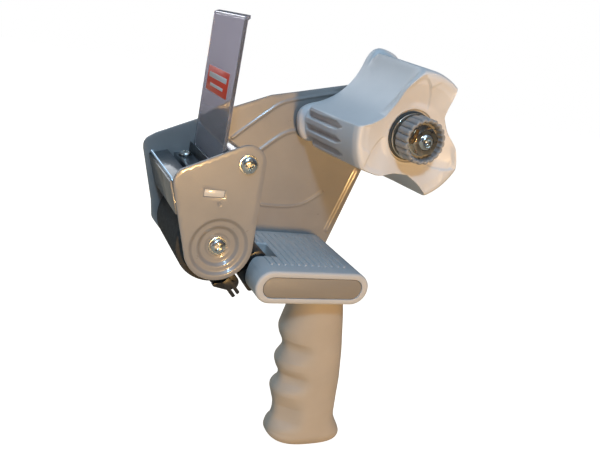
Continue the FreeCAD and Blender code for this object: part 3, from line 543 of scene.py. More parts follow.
def pressed_sheet(name, outline, holes, y_low, y_high, height, fine_zone, steps, rim):
    """Sheet metal between y_low and y_high, bulged in Y by height(points), with rounded edges."""
    inner = [inset_loop(outline, rim)] + [inset_loop(hole, -rim) for hole in holes]
    flat, faces = sheet_face(inner, sheet_seeds(outline, inner, steps, fine_zone))
    rise = height(flat)
    verts = [(p[0], y + h, p[1]) for y in (y_low, y_high) for p, h in zip(flat, rise)]
    count = len(flat)
    faces += [tuple(i + count for i in reversed(face)) for face in faces]
    for loop, inset in zip([outline] + holes, inner):
        base, size = len(verts), len(loop)
        inner_lift, lift = height(np.array(inset)), height(np.array(loop))
        middle = [blend(a, b, 0.706) for a, b in zip(inset, loop)]
        bands = [(inset, inner_lift, y_low), (middle, lift, y_low + rim * 0.3), (loop, lift, y_low + rim),
                 (loop, lift, y_high - rim), (middle, lift, y_high - rim * 0.3), (inset, inner_lift, y_high)]
        for ring, lifts, y in bands:
            verts += [(p[0], y + h, p[1]) for p, h in zip(ring, lifts)]
        for band in range(len(bands) - 1):
            a = base + band * size
            b = a + size
            faces += [(a + k, a + (k + 1) % size, b + (k + 1) % size, b + k) for k in range(size)]
    return mesh_object(name, verts, faces, 40.0)


def bead(points, line, width, height):
    """Rounded rib of the given height along a line."""
    near = np.clip(1 - line_distance(points, line) / (width / 2), 0, 1)
    return height * np.sin(near * math.pi / 2) ** 1.5


SHEET = 1.5                                 # gauge of the side plates
DISH_STEPS = [(15.6, 13.6, 1.3), (11.2, 9.0, 1.4), (6.6, 5.8, 0.3)]     # outer and inner radius, drop
DISH_DEPTH = 3.0
# Beads pressed in the frame plate: line through (x, z), width, rise
PLATE_BEADS = [
    ([(-75.0, -24.5), (-66.0, -15.7), (-57.6, -7.9), (-50.2, -1.3), (-44.4, 1.3),
      (-32.4, 5.1), (-14.9, 10.1), (0.0, 13.2)], 2.6, -0.7),
    ([(-58.5, -31.0), (-53.0, -25.9), (-46.9, -20.2), (-40.8, -16.4), (-30.0, -14.0)], 3.4, -0.8),
    ([(-50.0, -62.8), (-40.8, -63.0), (-30.9, -62.5), (-22.5, -60.2), (-16.6, -55.8),
      (-11.3, -51.4)], 2.6, -0.6),
    ([(9.8, -35.6), (-2.0, -76.0)], 4.8, -0.8),
]


def smooth_line(line, rounds=2):
    """Corner-cut line: the bead follows a curve instead of straight runs."""
    for _ in range(rounds):
        cut = [line[0]]
        for a, b in zip(line, line[1:]):
            cut += [blend(a, b, 0.25), blend(a, b, 0.75)]
        line = cut + [line[-1]]
    return line


def build_frame_plate():
    outer = mm_box("frame_plate")[1].y
    outline, *holes = face_loops("frame_plate", outer)
    lines = [(smooth_line(line), width, rise) for line, width, rise in PLATE_BEADS]

    def height(points):
        return sum(bead(points, line, width, rise) for line, width, rise in lines)

    def near_bead(points):
        return np.any([line_distance(points, line) < width / 2 + 0.8 for line, width, _ in lines], axis=0)

    plate = pressed_sheet("frame_plate_pressed", spaced(outline, 2.0), holes, outer - SHEET, outer,
                          height, near_bead, (2.2, 0.5), 0.3)
    finish(plate, "frame", "frame_plate", ENAMEL)


def build_front_side_plate():
    x, z = axis_of("roller_sleeve")
    face = mm_box("front_side_plate")[0].y
    outline, *openings = face_loops("front_side_plate", face)
    largest_opening = 100.0                 # square millimetres; larger loops are the dish's own
    holes = [loop for loop in openings if abs(signed_area(loop)) < largest_opening]
    holes.append(circle(x, z, 2.1, 32))

    def from_axis(points):
        return np.hypot(points[:, 0] - x, points[:, 1] - z)

    def from_dimple(points):
        return np.hypot(points[:, 0] - (x - 3.4), points[:, 1] - (z + 22.6))

    def height(points):
        total = np.zeros(len(points))
        for far, near, drop in DISH_STEPS:
            t = np.clip((far - from_axis(points)) / (far - near), 0, 1)
            total += drop * t * t * (3 - 2 * t)
        return total + 0.35 * np.clip(1 - from_dimple(points) / 0.9, 0, 1) ** 0.5

    def pressed(points):
        return (from_axis(points) < 16.4) | (from_dimple(points) < 1.6)

    plate = pressed_sheet("front_side_plate_pressed", spaced(outline, 1.6), holes, face, face + SHEET,
                          height, pressed, (2.0, 0.45), 0.35)
    finish(plate, "frame", "front_side_plate", ENAMEL)


# Fasteners
HEAD_RISE = 2.6                             # of a pan head over its seat
STILL = Matrix.Identity(4)


def screw_head(name, radius, rise):
    """Domed head with a tapered cross recess; stands on y = 0 and points to -Y."""
    profile = [(0.01, 0.0), (radius * 0.93, 0.0), (radius, -0.12 * rise)]
    for k in range(1, 11):
        angle = math.pi / 2 * k / 10
        profile.append((radius * max(0.002, math.cos(angle) ** 0.8),
                        -0.3 * rise - 0.7 * rise * math.sin(angle)))
    head = turned(name, profile, segments=48, hollow=False)
    arm, half = radius * 0.56, radius * 0.14
    rings = []
    for y, grow in ((-rise * 1.2, 1.3), (-rise * 0.28, 0.55)):
        ring = []
        for turn in range(4):
            angle = math.pi / 2 * turn + 0.35
            for u, v in ((arm, -half), (arm, half), (half * 1.5, half * 1.5)):
                u, v = u * grow, v * (0.6 + 0.4 * grow)
                ring.append((u * math.cos(angle) - v * math.sin(angle), y,
                             u * math.sin(angle) + v * math.cos(angle)))
        rings.append(ring)
    cut_away(head, lofted(name + "_tool", rings), 28.0)
    return mesh_only(head)


def shank_mesh(length):
    profile = soften(rectangle(0.01, 0.0, 1.95, length), 0.2, 2, False)
    return mesh_only(turned("shank", profile, segments=24, hollow=False))


def at(x, y, z, turn=0.0, flip=False):
    """Place of a screw; `flip` points its head to +Y."""
    matrix = Matrix.Translation((x * MM, y * MM, z * MM))
    if flip:
        matrix = matrix @ Matrix.Rotation(math.pi, 4, "Z")
    return matrix @ Matrix.Rotation(math.radians(turn), 4, "Y")


def build_screws():
    head, small = screw_head("pan_head", 4.2, HEAD_RISE), screw_head("small_pan_head", 3.5, 2.5)
    shank, short = shank_mesh(10.0), shank_mesh(2.4)
    tie, roller = axis_of("upper_tie_rod"), axis_of("roller_sleeve")
    near_seat = mm_box("side_plate_screws")[0].y + HEAD_RISE
    far_seat = mm_box("frame_rear_screws")[1].y - HEAD_RISE
    low, high = mm_box("handle_screws")
    middle = (low.z + high.z) / 2
    for name, node, stem, flip, spots in (
            ("side_screws", "side_plate_screws", shank, False,
             ((tie, near_seat, 20.0), (roller, near_seat + DISH_DEPTH, 65.0))),
            ("rear_screws", "frame_rear_screws", shank, True,
             ((tie, far_seat, 10.0), (roller, far_seat, 50.0))),
            ("grip_screws", "handle_screws", short, True,
             (((low.x + 4.2, middle), far_seat, 30.0), ((high.x - 4.2, middle), far_seat, 75.0)))):
        pieces = []
        for (x, z), y, turn in spots:
            pieces += [(head, at(x, y, z, turn, flip)), (stem, at(x, y, z, 0.0, flip))]
        finish(joined(name, pieces), "frame", node, PLATED)

    low, high = mm_box("cross_plate_screws")
    slope = math.radians(12.0)              # the cross plate's fall towards the front
    up = Vector((-math.sin(slope), 0, math.cos(slope)))
    foot = Vector(((low.x + high.x) / 2, 0, (low.z + high.z) / 2)) - up * 0.05
    stand = Matrix.Rotation(-slope, 4, "Y") @ Matrix.Rotation(-math.pi / 2, 4, "X")
    pieces = []
    for y, turn in ((-19.5, 15.0), (19.5, 70.0)):
        matrix = Matrix.Translation((foot.x * MM, y * MM, foot.z * MM)) @ stand
        matrix = matrix @ Matrix.Rotation(math.radians(turn), 4, "Y")
        pieces += [(small, matrix), (short, matrix)]
    finish(joined("cross_screws", pieces), "frame", "cross_plate_screws", PLATED)


SPINDLE_BORE = 4.02
NUT_PARTS = (0.0, 0.1, 0.5, 0.75, 0.85, 0.92, 0.96, 1.0)    # ring places from the bore to the flats


def hex_radius(angle, across):
    sector = (angle + math.pi / 6) % (math.pi / 3) - math.pi / 6
    return across / 2 / math.cos(sector)


def hex_nut(name, node, material, turn=0.0):
    """Hexagon nut about the hub axis with both faces chamfered."""
    low, high = mm_box(node)
    across = high.x - low.x - 2.0
    chamfer_from = across / 2 * 0.97
    rings = []
    for y, inward, parts in ((low.y, 1.0, NUT_PARTS), (high.y, -1.0, NUT_PARTS[::-1])):
        for part in parts:
            ring = []
            for angle in round_angles(120):
                outer = hex_radius(angle - math.radians(turn) - math.pi / 6, across)
                radius = SPINDLE_BORE + (outer - SPINDLE_BORE) * part
                sink = max(0.0, radius - chamfer_from) * 0.58 if part else 0.4
                ring.append((radius * math.cos(angle), y + inward * sink, radius * math.sin(angle)))
            rings.append(ring)
    finish(lofted(name, rings, 20.0, loop=True), "frame", node, material)


def washer(name, x, z, inner, outer, y_low, y_high, edge=0.2, segments=72):
    return turned(name, soften(rectangle(inner, y_low, outer, y_high), edge, 3), x, z, segments)


def build_washers():
    low, high = mm_box("side_plate_washers")
    thick = 0.8
    pieces = []
    for (x, z), y in ((axis_of("upper_tie_rod"), low.y), (axis_of("roller_sleeve"), high.y - thick)):
        pieces.append((mesh_only(washer("washer", x, z, 2.1, 4.9, y, y + thick)), STILL))
    finish(joined("side_washers", pieces), "frame", "side_plate_washers", PLATED)


# Hub and brake
LOBES = (76.0, 196.0, 316.0)
VALLEY_OFFSET, VALLEY_RADIUS = 58.0, 39.0
VALLEYS = [(VALLEY_OFFSET * math.cos(turn), VALLEY_OFFSET * math.sin(turn))
           for turn in (math.radians(lobe + 60.0) for lobe in LOBES)]
LIP_FILLET = 10.0
HUB_FRONT, HUB_BACK, HUB_FLOOR, DISH_RIM = -40.5, 25.0, -34.5, -36.0
RECESS, BOSS, HUB_BORE, HUB_WALL = 14.0, 12.0, 7.0, 2.8
HUB_ANGLES = round_angles(432)
# Lobe radius by position across the tape, and height of the dished front face by radius
LOBE_SIDE = [(-40.5, 31.2), (-39.9, 32.8), (-38.7, 34.1), (-36.8, 34.9), (19.0, 37.7), (20.2, 39.6),
             (21.2, 40.4), (24.2, 40.6), (25.0, 40.0)]
DISH = [(0.0, DISH_RIM), (15.4, DISH_RIM), (19.0, -37.0), (27.5, -40.15), (30.2, HUB_FRONT),
        (45.0, HUB_FRONT)]
WEB_ENDS = ((34.5, -40.0), (20.9, 20.0))    # radius, and degrees from the middle of a hollow


def read_off(rows, place):
    """Straight-line reading of (place, value) rows, level past their ends."""
    for (x0, y0), (x1, y1) in zip(rows, rows[1:]):
        if place <= x1:
            return y0 + (y1 - y0) * max(0.0, (place - x0)) / (x1 - x0)
    return rows[-1][1]


def degrees_from(middle, angle):
    """Signed turn from `middle`, in degrees, to an angle in radians."""
    return (math.degrees(angle) - middle + 180) % 360 - 180


def web_edge(side):
    """Reach of the thin web that fills a hollow at the front, `side` degrees from its middle."""
    (x0, z0), (x1, z1) = [(radius * math.cos(math.radians(turn)), radius * math.sin(math.radians(turn)))
                          for radius, turn in WEB_ENDS]
    angle = math.radians(side)
    across = math.cos(angle) * (z1 - z0) - math.sin(angle) * (x1 - x0)
    reach = (x0 * z1 - z0 * x1) / across if abs(across) > 1e-6 else 0.0
    return reach if -60.0 < side < 45.0 and reach > 0 else 0.0


def valley_reach(angle, extra=0.0, fan=0.0):
    """Distance from the axis to the hollow wall between two lobes, or a large value."""
    best = 1e3
    for lobe in LOBES:
        side = degrees_from(lobe + 60.0, angle)
        off = math.radians(side)
        radius = VALLEY_RADIUS + extra
        under = radius ** 2 - (VALLEY_OFFSET * math.sin(off)) ** 2
        if under <= 0 or math.cos(off) <= 0:
            continue
        wall = VALLEY_OFFSET * math.cos(off) - math.sqrt(under)
        if fan:
            filled = web_edge(side) + 2.2 * math.exp(-((side + 23.0) / 12.0) ** 2)
            wall += fan * max(0.0, filled - wall)
        best = min(best, wall)
    return best


def blend_min(a, b, width):
    """Smaller of two lengths, with the corner between them rounded over `width`."""
    gap = max(width - abs(a - b), 0.0) / width
    return min(a, b) - gap * gap * width / 4


def rounded_lip(angle, side):
    """Radius where the lobe side and the hollow meet in one full fillet."""
    cosine, sine = math.cos(angle), math.sin(angle)
    low, high = BOSS, side
    for _ in range(13):
        radius = (low + high) / 2
        wall = min(math.hypot(radius * cosine - x, radius * sine - z) for x, z in VALLEYS) - VALLEY_RADIUS
        if blend_min(side - radius, wall, LIP_FILLET) > 0:
            low = radius
        else:
            high = radius
    return low


def hub_radius(angle, y, shrink=0.0):
    """Reach of the hub's outside, or of a wall `shrink` further in."""
    fan = smoothstep(-27.0, -38.0, y)
    sharp = blend_min(read_off(LOBE_SIDE, y) - shrink, valley_reach(angle, shrink, fan), 2.6)
    lip = smoothstep(12.0, 20.5, y)
    if lip == 0.0 or shrink:
        return sharp
    return sharp + (rounded_lip(angle, read_off(LOBE_SIDE, y)) - sharp) * lip


def groove_depth(angle, radius, y):
    """Three tapered slots along each lobe, open inwards."""
    start, end = -25.0, 18.4
    if radius < 30 or not start < y < end:
        return 0.0
    nearest = min((degrees_from(lobe, angle) for lobe in LOBES), key=abs)
    across = radius * math.sin(math.radians(nearest))
    taper = smoothstep(start, -16.5, y)
    half = 0.15 + 1.75 * taper
    edge = max(smoothstep(half + 0.3, half - 0.3, abs(across - centre)) for centre in (-7.4, 0.0, 7.4))
    return edge * smoothstep(end, 14.0, y) * (0.9 + 2.4 * taper)


def swirl(x, z):
    """Depth of the three scooped crescents in the hub's front face, at most 1."""
    total = 0.0
    for lobe in LOBES:
        turn = math.radians(lobe)
        u = x * math.cos(turn) + z * math.sin(turn)       # along the lobe
        v = -x * math.sin(turn) + z * math.cos(turn)      # across the lobe
        rim = math.hypot(u - 8.0, v - 20.5)               # crease arc round a point beside the lobe
        scoop = smoothstep(24.6, 23.9, rim) * smoothstep(9.0, 21.0, rim)
        lobe_side = smoothstep(-30.0, 8.0, u)
        total = max(total, scoop * lobe_side)
    return total


def hub_ring(radius_of, y_of):
    """Points round the axis; radius and height are numbers, or functions of (angle) and (radius, angle)."""
    ring = []
    for angle in HUB_ANGLES:
        radius = radius_of(angle) if callable(radius_of) else radius_of
        y = y_of(radius, angle) if callable(y_of) else y_of
        ring.append((radius * math.cos(angle), y, radius * math.sin(angle)))
    return ring


def front_y(radius, angle):
    """Height of the front face, with its scooped crescents."""
    dish = read_off(DISH, radius)
    outer = hub_radius(angle, dish + 0.9)
    edge = smoothstep(outer - 0.2, outer - 4.0, radius)
    ring_edge = smoothstep(RECESS + 1.2, RECESS + 4.0, radius)
    return dish + 1.3 * swirl(radius * math.cos(angle), radius * math.sin(angle)) * edge * ring_edge


def edge_y(angle, drop):
    """Height `drop` behind the front face's outer edge."""
    return read_off(DISH, hub_radius(angle, HUB_FRONT + 0.3)) + drop


def hub_front_rings():
    rings = [hub_ring(radius, y) for radius, y in (
        (HUB_BORE, HUB_FLOOR), (RECESS - 0.6, HUB_FLOOR), (RECESS - 0.1, HUB_FLOOR - 0.4),
        (RECESS, DISH_RIM + 0.6), (RECESS + 0.25, DISH_RIM + 0.15), (RECESS + 0.8, DISH_RIM))]
    steps = 26
    for k in range(1, steps + 1):
        part = k / steps

        def across(angle):
            outer = hub_radius(angle, edge_y(angle, 0.3)) - 1.0
            return RECESS + 1.1 + (outer - RECESS - 1.1) * part

        rings.append(hub_ring(across, front_y))
    for shrink, drop in ((0.45, 0.12), (0.15, 0.45), (0.0, 0.95)):
        rings.append(hub_ring(lambda a: hub_radius(a, edge_y(a, drop + 0.6)) - shrink,
                              lambda r, a: edge_y(a, drop)))
    return rings


def hub_side_rings():
    level_from = HUB_FRONT + 8.0            # from here on the rings are flat
    rings = []
    for share in (0.12, 0.3, 0.5, 0.72, 1.0):

        def y_at(angle):
            return edge_y(angle, 0.95) * (1 - share) + level_from * share

        rings.append(hub_ring(lambda a: hub_radius(a, y_at(a)), lambda r, a: y_at(a)))
    stations = [9.5, 11.0] + [12.5 + k for k in range(12)] + [26.5 + 2.4 * k for k in range(12)]
    stations += [55.5, 56.9, 57.6, 57.8, 58.0, 58.2, 58.4, 58.8, 59.5, 60.1, 60.7, 61.3, 61.9, 62.9,
                 64.1, 64.8, 65.3]
    for station in stations:
        y = HUB_FRONT + station

        def slotted(angle):
            radius = hub_radius(angle, y)
            return radius - groove_depth(angle, radius, y)

        rings.append(hub_ring(slotted, y))
    return rings


def hub_inside_rings():
    front, back = -31.5, 19.0               # ends of the space between wall and boss
    rings = [hub_ring(lambda a: hub_radius(a, HUB_BACK) - 0.35, HUB_BACK),
             hub_ring(lambda a: hub_radius(a, HUB_BACK, HUB_WALL) - 0.8, HUB_BACK)]
    for y in (back, 5.0, -15.0, front):
        rings.append(hub_ring(lambda a: max(BOSS + 1.0, hub_radius(a, min(y, 16.9), HUB_WALL) - 1.2), y))
    return rings + [hub_ring(radius, y) for radius, y in (
        (BOSS + 0.4, front), (BOSS, front + 0.7), (BOSS, back - 0.3), (BOSS - 0.3, back), (HUB_BORE, back))]


def build_hub_core():
    rings = hub_front_rings() + hub_side_rings() + hub_inside_rings()
    finish(lofted("hub_core_moulded", rings, 42.0, loop=True), "hub", "hub_core", HUB_PLASTIC)


def build_knob():
    low, high = mm_box("tension_knob")
    front, back = low.y, high.y
    outer = (high.x - low.x) / 2
    flutes = 20

    def ring(radius, y, depth):
        points = []
        for angle in round_angles(480):
            wave = abs(math.cos(angle * flutes / 2))
            r = radius - depth * (1 - wave ** 0.55)
            points.append((r * math.cos(angle), y, r * math.sin(angle)))
        return points

    web_front, web_back = front + 4.6, back - 4.8
    profile = [
        (4.1, web_back, 0), (9.0, web_back, 0), (9.2, web_back + 0.2, 0), (9.2, back - 0.2, 0),
        (9.4, back, 0), (10.8, back, 0.1), (outer - 0.25, back - 0.2, 0.5), (outer, back - 0.9, 0.9),
        (outer, back - 3.0, 1.15), (outer, front + 2.0, 1.15), (outer - 0.1, front + 0.7, 1.1),
        (outer - 0.5, front + 0.15, 1.0), (outer - 0.9, front, 0.9), (outer - 1.4, front + 0.1, 0.8),
        (outer - 1.8, front + 0.4, 0.75), (outer - 2.0, front + 1.0, 0.75),
        (outer - 2.2, front + 4.0, 0.75), (outer - 2.5, web_front, 0.6), (8.6, web_front + 0.05, 0),
        (4.1, web_front + 0.05, 0)]
    knob = lofted("tension_knob_fluted", [ring(*row) for row in profile], 40.0, loop=True)
    finish(knob, "knob", "tension_knob", KNOB_PLASTIC)


def build_brake_stack():
    low, high = mm_box("hub_spindle")
    tip, head = low.y, high.y
    profile = [(0.01, tip + 2.6), (1.2, tip + 2.4), (2.0, tip + 1.8), (2.2, tip + 0.25), (2.4, tip),
               (3.0, tip), (3.5, tip + 0.35), (3.75, tip + 0.8)]
    for k in range(2):                      # the last two turns of the thread show
        y = tip + 1.0 + 0.7 * k
        profile += [(3.95, y), (3.5, y + 0.35)]
    profile += [(3.98, tip + 2.4), (3.98, head - 4.4), (7.0, head - 4.4), (7.2, head - 4.2),
                (7.2, head - 1.2), (6.9, head - 0.6), (6.0, head), (0.6, head)]
    spindle = turned("hub_spindle_turned", profile, hollow=False, sharp=28.0)
    finish(spindle, "frame", "hub_spindle", NUT_STEEL)
    hex_nut("knob_lock_nut_cut", "knob_lock_nut", LOCK_STEEL_PAINTED_REFLECTION, 14.0)
    hex_nut("hub_clamp_nut_cut", "hub_clamp_nut", NUT_STEEL)
    for node, inner, body, material, edge in (
            ("knob_washer", SPINDLE_BORE, "frame", NUT_STEEL, 0.3),
            ("hub_spacer", SPINDLE_BORE, "frame", SHAFT_STEEL, 0.4),
            ("thrust_washer", SPINDLE_BORE, "frame", NUT_STEEL, 0.3),
            ("friction_washer", 4.35, "hub", FRICTION, 0.2),
            ("hub_bush", 4.08, "hub", BLACK_PLASTIC, 0.3)):
        low, high = mm_box(node)
        ring = washer(node + "_ring", 0, 0, inner, (high.x - low.x) / 2, low.y, high.y, edge, 96)
        finish(ring, body, node, material)


# Grip
GRIP_TOP, GRIP_FOOT, GRIP_MIDDLE = -98.2, -208.0, -4.0
# Its front and back as (z, x) rows from the top down
GRIP_FRONT = [
    (-98.2, -31.5), (-105.0, -32.0), (-112.0, -32.8), (-118.0, -33.8), (-124.0, -35.2), (-128.5, -35.9),
    (-133.0, -34.6), (-137.5, -32.2), (-141.0, -31.6), (-146.0, -33.2), (-150.0, -34.4), (-154.5, -33.0),
    (-159.0, -30.6), (-163.0, -30.9), (-167.0, -33.0), (-170.0, -33.6), (-175.0, -32.0), (-181.0, -30.0),
    (-187.0, -29.6), (-192.0, -30.8), (-197.5, -32.2), (-201.0, -31.4), (-204.5, -27.5), (-208.0, -19.5)]
GRIP_BACK = [(-98.2, -3.4), (-112.0, 0.4), (-124.0, 3.2), (-138.0, 6.0), (-152.5, 8.4), (-165.5, 9.9),
             (-180.0, 11.0), (-188.0, 12.0), (-194.0, 15.0), (-199.0, 18.0), (-202.0, 18.8), (-205.0, 17.8),
             (-208.0, 14.5)]


def follow(table, z):
    """Smooth curve through (z, value) rows listed from the top down."""
    for i in range(len(table) - 1):
        if z >= table[i + 1][0] or i == len(table) - 2:
            z0, a = table[i]
            z1, b = table[i + 1]
            zp, p = table[max(0, i - 1)]
            zn, n = table[min(len(table) - 1, i + 2)]
            t = min(1.0, max(0.0, (z0 - z) / (z0 - z1)))
            slope_a = (b - p) / max(1e-6, zp - z1) * (z0 - z1)
            slope_b = (n - a) / max(1e-6, z0 - zn) * (z0 - z1)
            t2, t3 = t * t, t * t * t
            return ((2 * t3 - 3 * t2 + 1) * a + (t3 - 2 * t2 + t) * slope_a
                    + (3 * t2 - 2 * t3) * b + (t3 - t2) * slope_b)


def grip_section(z, front, back):
    """One level of the grip: rounded box with finger hollows in front and fine ripples behind."""
    foot = max(0.0, (-198.0 - z) / 12.0)
    neck = max(0.0, (z + 112.0) / 15.0)
    half = 15.0 * math.sqrt(max(0.05, 1 - 0.95 * foot * foot)) - 0.6 * neck
    trend = -34.6 + 0.9 * smoothstep(-124.0, -190.0, z)         # the front's line over the finger ridges
    hollow = max(0.0, front - trend) / 3.2 * smoothstep(-126.0, -131.0, z) * smoothstep(-197.0, -190.0, z)
    rippled = smoothstep(GRIP_TOP, GRIP_TOP - 3, z) * smoothstep(-196.0, -188.0, z)
    wave = 0.5 + 0.5 * math.cos(2 * math.pi * z / 1.25)
    tuck = max(0.0, (GRIP_FOOT + 1.0 - z)) * 1.1
    centre, reach = (front + back) / 2, (back - front) / 2
    ring = []
    for angle in round_angles(112):
        cosine, sine = math.cos(angle), math.sin(angle)
        if cosine > 0:
            power, round_off = 0.80, 0.80 - 0.3 * foot
        else:
            power, round_off = 0.96 - 0.3 * foot, 0.88 - 0.45 * foot
        side = half * (1 - 0.34 * min(1.0, hollow) * smoothstep(-0.12, -0.88, cosine))
        x = centre + (reach - tuck) * math.copysign(abs(cosine) ** power, cosine)
        y = GRIP_MIDDLE + (side - tuck) * math.copysign(abs(sine) ** round_off, sine)
        ripple = 0.2 * (smoothstep(0.25, 0.75, cosine) * rippled) * wave
        ring.append((x - ripple * cosine, y - ripple * sine, z))
    return ring


def build_grip():
    heights, z = [], GRIP_TOP
    while z > GRIP_FOOT + 1.2:
        heights.append(z)
        z -= 0.25
    heights += [GRIP_FOOT + rise for rise in (1.0, 0.6, 0.3, 0.1)]
    rings = [grip_section(z, follow(GRIP_FRONT, z) - 0.4, follow(GRIP_BACK, z)) for z in heights]
    finish(lofted("handle_grip_moulded", rings, 60.0), "frame", "handle_grip", GRIP_RUBBER)


# Shelf
SHELF_THICK = 18.8
NOTCH_BACK = -51.4
RIB_FIRST, RIB_PITCH, RIB_SPAN = -59.7, 4.0, (-27.0, 23.0)


def stadium(left, right, middle, radius):
    """Slot-shaped outline in X and Z, with its straight sides divided."""
    points = []
    for centre, start in ((left, 90.0), (right, -90.0)):
        for k in range(21):
            angle = math.radians(start + 180.0 * k / 20)
            points.append((centre + radius * math.cos(angle), middle + radius * math.sin(angle)))
    return [p for a, b in sides(points) for p in run(a, b, 1 if math.dist(a, b) < 5 else 24)]


def thumb_rib(x, near_y, far_y, top):
    """Mesh of one round-ended rib standing on the shelf's top."""
    rings = []
    for z, grow in ((top - 0.3, 0.15), (top + 0.3, 0.05), (top + 0.55, -0.12), (top + 0.68, -0.42)):
        half = 0.8 + grow
        ring = []
        for start, y in ((math.pi, near_y - grow + half), (0.0, far_y + grow - half)):
            for k in range(9):
                angle = start + math.pi * k / 8
                ring.append((x + half * math.cos(angle), y + half * math.sin(angle), z))
        rings.append(ring)
    return mesh_only(lofted("shelf_rib", rings, 50.0))


def shelf_body(low, high, top):
    """Slab with round ends and a recess for the end panel."""
    end = SHELF_THICK / 2
    left, right, middle = low.x + end, high.x - end, top - end
    margin, depth = 3.4, 2.3

    def ring(cut, y):
        return [(x, y, z) for x, z in stadium(left, right, middle, end - cut)]

    def recess(y, shrink=0.0):
        return [(x, y, z) for x, z in stadium(left + 0.8, right - 0.8, middle, end - margin - shrink)]

    rings = [ring(0.5, high.y), ring(0.15, high.y - 0.15), ring(0.0, high.y - 0.6)]
    rings += [ring(0.0, high.y - 0.6 - 6.4 * k) for k in range(1, 9)]
    rings += [ring(cut, low.y + rise) for cut, rise in (
        (0.0, 1.6), (0.12, 0.9), (0.5, 0.35), (1.05, 0.08), (1.6, 0.0))]
    rings += [recess(low.y, -0.5), recess(low.y + 0.1, -0.15), recess(low.y + 0.5), recess(low.y + depth)]
    return lofted("shelf_housing_moulded", rings, 30.0)


def notch_tool(near, far, low_z, top):
    """The release lever's notch, flared a little at both faces."""
    rings = []
    flare = 0.6
    for z, grow in ((top + 2.0, 2.6), (top, flare), (top - flare, 0.0), (low_z + flare, 0.0),
                    (low_z, flare), (low_z - 2.0, 2.6)):
        mouth, back, side = near - 6.0 - grow, NOTCH_BACK + grow, far + grow
        corners = [(-80.0, mouth), (-72.0, mouth), (-66.0, near - grow), (back, near - grow),
                   (back, side), (-80.0, side)]
        rings.append([(x, y, z) for x, y in soften(corners, 2.0, 6)])
    return lofted("notch_tool", rings)


def corner_tool(high, low_z, top):
    """What rounds the shelf's rear corner at the frame plate."""
    radius = 9.2
    x0, y0 = high.x - radius, high.y - radius
    rings = []
    for z in (top + 3.0, low_z - 3.0):
        arc = [(x0 + radius * math.sin(math.radians(a)), y0 + radius * math.cos(math.radians(a)), z)
               for a in range(0, 91, 6)]
        x1, y1 = high.x + 6.0, high.y + 6.0
        rings.append([(x0, y1, z)] + arc + [(x1, y0, z), (x1, y1, z)])
    return lofted("corner_tool", rings)


def slit_tool():
    """Short parting slit across the shelf's round front."""
    rings = [[(-69.9 + u, y, -82.0 + v) for u, v in rectangle(-3.0, -half, 2.4, half)]
             for y, half in ((-27.0, 0.1), (-26.0, 0.35), (-16.0, 0.35), (-15.0, 0.1))]
    return lofted("slit_tool", rings)


def build_shelf():
    low, high = mm_box("shelf_housing")
    top = low.z + SHELF_THICK
    lever_low, lever_high = mm_box("release_lever")
    near, far = lever_low.y - 0.8, lever_high.y + 0.6
    shelf = shelf_body(low, high, top)
    for tool in (notch_tool(near, far, low.z, top), corner_tool(high, low.z, top), slit_tool()):
        cut_away(shelf, tool, 30.0)
    finish(shelf, "frame", "shelf_housing", SHELF_PLASTIC)

    ribs = []
    for i in range(12):
        x = RIB_FIRST + RIB_PITCH * i
        runs = [RIB_SPAN]
        if x - 1.2 <= NOTCH_BACK:
            runs = [(RIB_SPAN[0], near - 0.8), (far + 0.8, RIB_SPAN[1])]
        ribs += [(thumb_rib(x, start, end, top), STILL) for start, end in runs]
    finish(joined("shelf_thumb_ribs", ribs), "frame", "shelf_housing", SHELF_PLASTIC, replaces=False)

    low, high = mm_box("shelf_end_panel")
    end, middle = (high.z - low.z) / 2, (high.z + low.z) / 2
    rings = [[(x, y, z) for x, z in stadium(low.x + end, high.x - end, middle, end - cut)]
             for cut, y in ((0.0, high.y), (0.0, low.y + 0.5), (0.15, low.y + 0.15), (0.5, low.y))]
    finish(lofted("shelf_end_panel_inlay", rings, 40.0), "frame", "shelf_end_panel", PANEL_PLASTIC)


# Roller, flap and plain pieces
def build_roller():
    x, z = axis_of("roller_sleeve")
    low, high = mm_box("roller_sleeve")
    outer = (high.x - low.x) / 2
    core, pitch = outer - 3.0, 1.6
    profile = [(core, low.y), (outer - 1.0, low.y), (outer - 0.3, low.y + 0.25), (outer, low.y + 0.9)]
    y = low.y + pitch
    while y < high.y - 1.8:
        profile += [(outer, y), (outer - 0.12, y + 0.3), (outer - 0.12, y + 0.5), (outer, y + 0.8)]
        y += pitch
    profile += [(outer, high.y - 0.9), (outer - 0.3, high.y - 0.25), (outer - 1.0, high.y), (core, high.y)]
    finish(turned("roller_sleeve_rubber", profile, x, z, 120), "roller", "roller_sleeve", BLACK_RUBBER)


def build_flap():
    low, high = mm_box("tape_flap")
    half, bulb, edge = 0.9, 1.6, 0.22       # half the gauge, the foot bead's radius, the edges' rounding
    x, z = low.x + bulb, low.z + bulb
    top = high.z - 1.1
    section = [(x - half, z + 1.0)]
    for k in range(1, 20):
        angle = math.radians(126.0 + 288.0 * k / 20)
        section.append((x + bulb * math.cos(angle), z + bulb * math.sin(angle)))
    section += [(x + half, z + 1.0), (x + half, top - 1.4), (x + 1.9, top - 0.4), (x + 1.7, top + 1.1),
                (x - half, top)]
    outline = soften(section, 0.25, 3)
    inner = inset_loop(outline, edge)
    rings = [[(u, y, v) for u, v in loop] for loop, y in (
        (inner, low.y), (outline, low.y + edge), (outline, high.y - edge), (inner, high.y))]
    finish(lofted("tape_flap_sheet", rings, 40.0), "flap", "tape_flap", CLEAR)


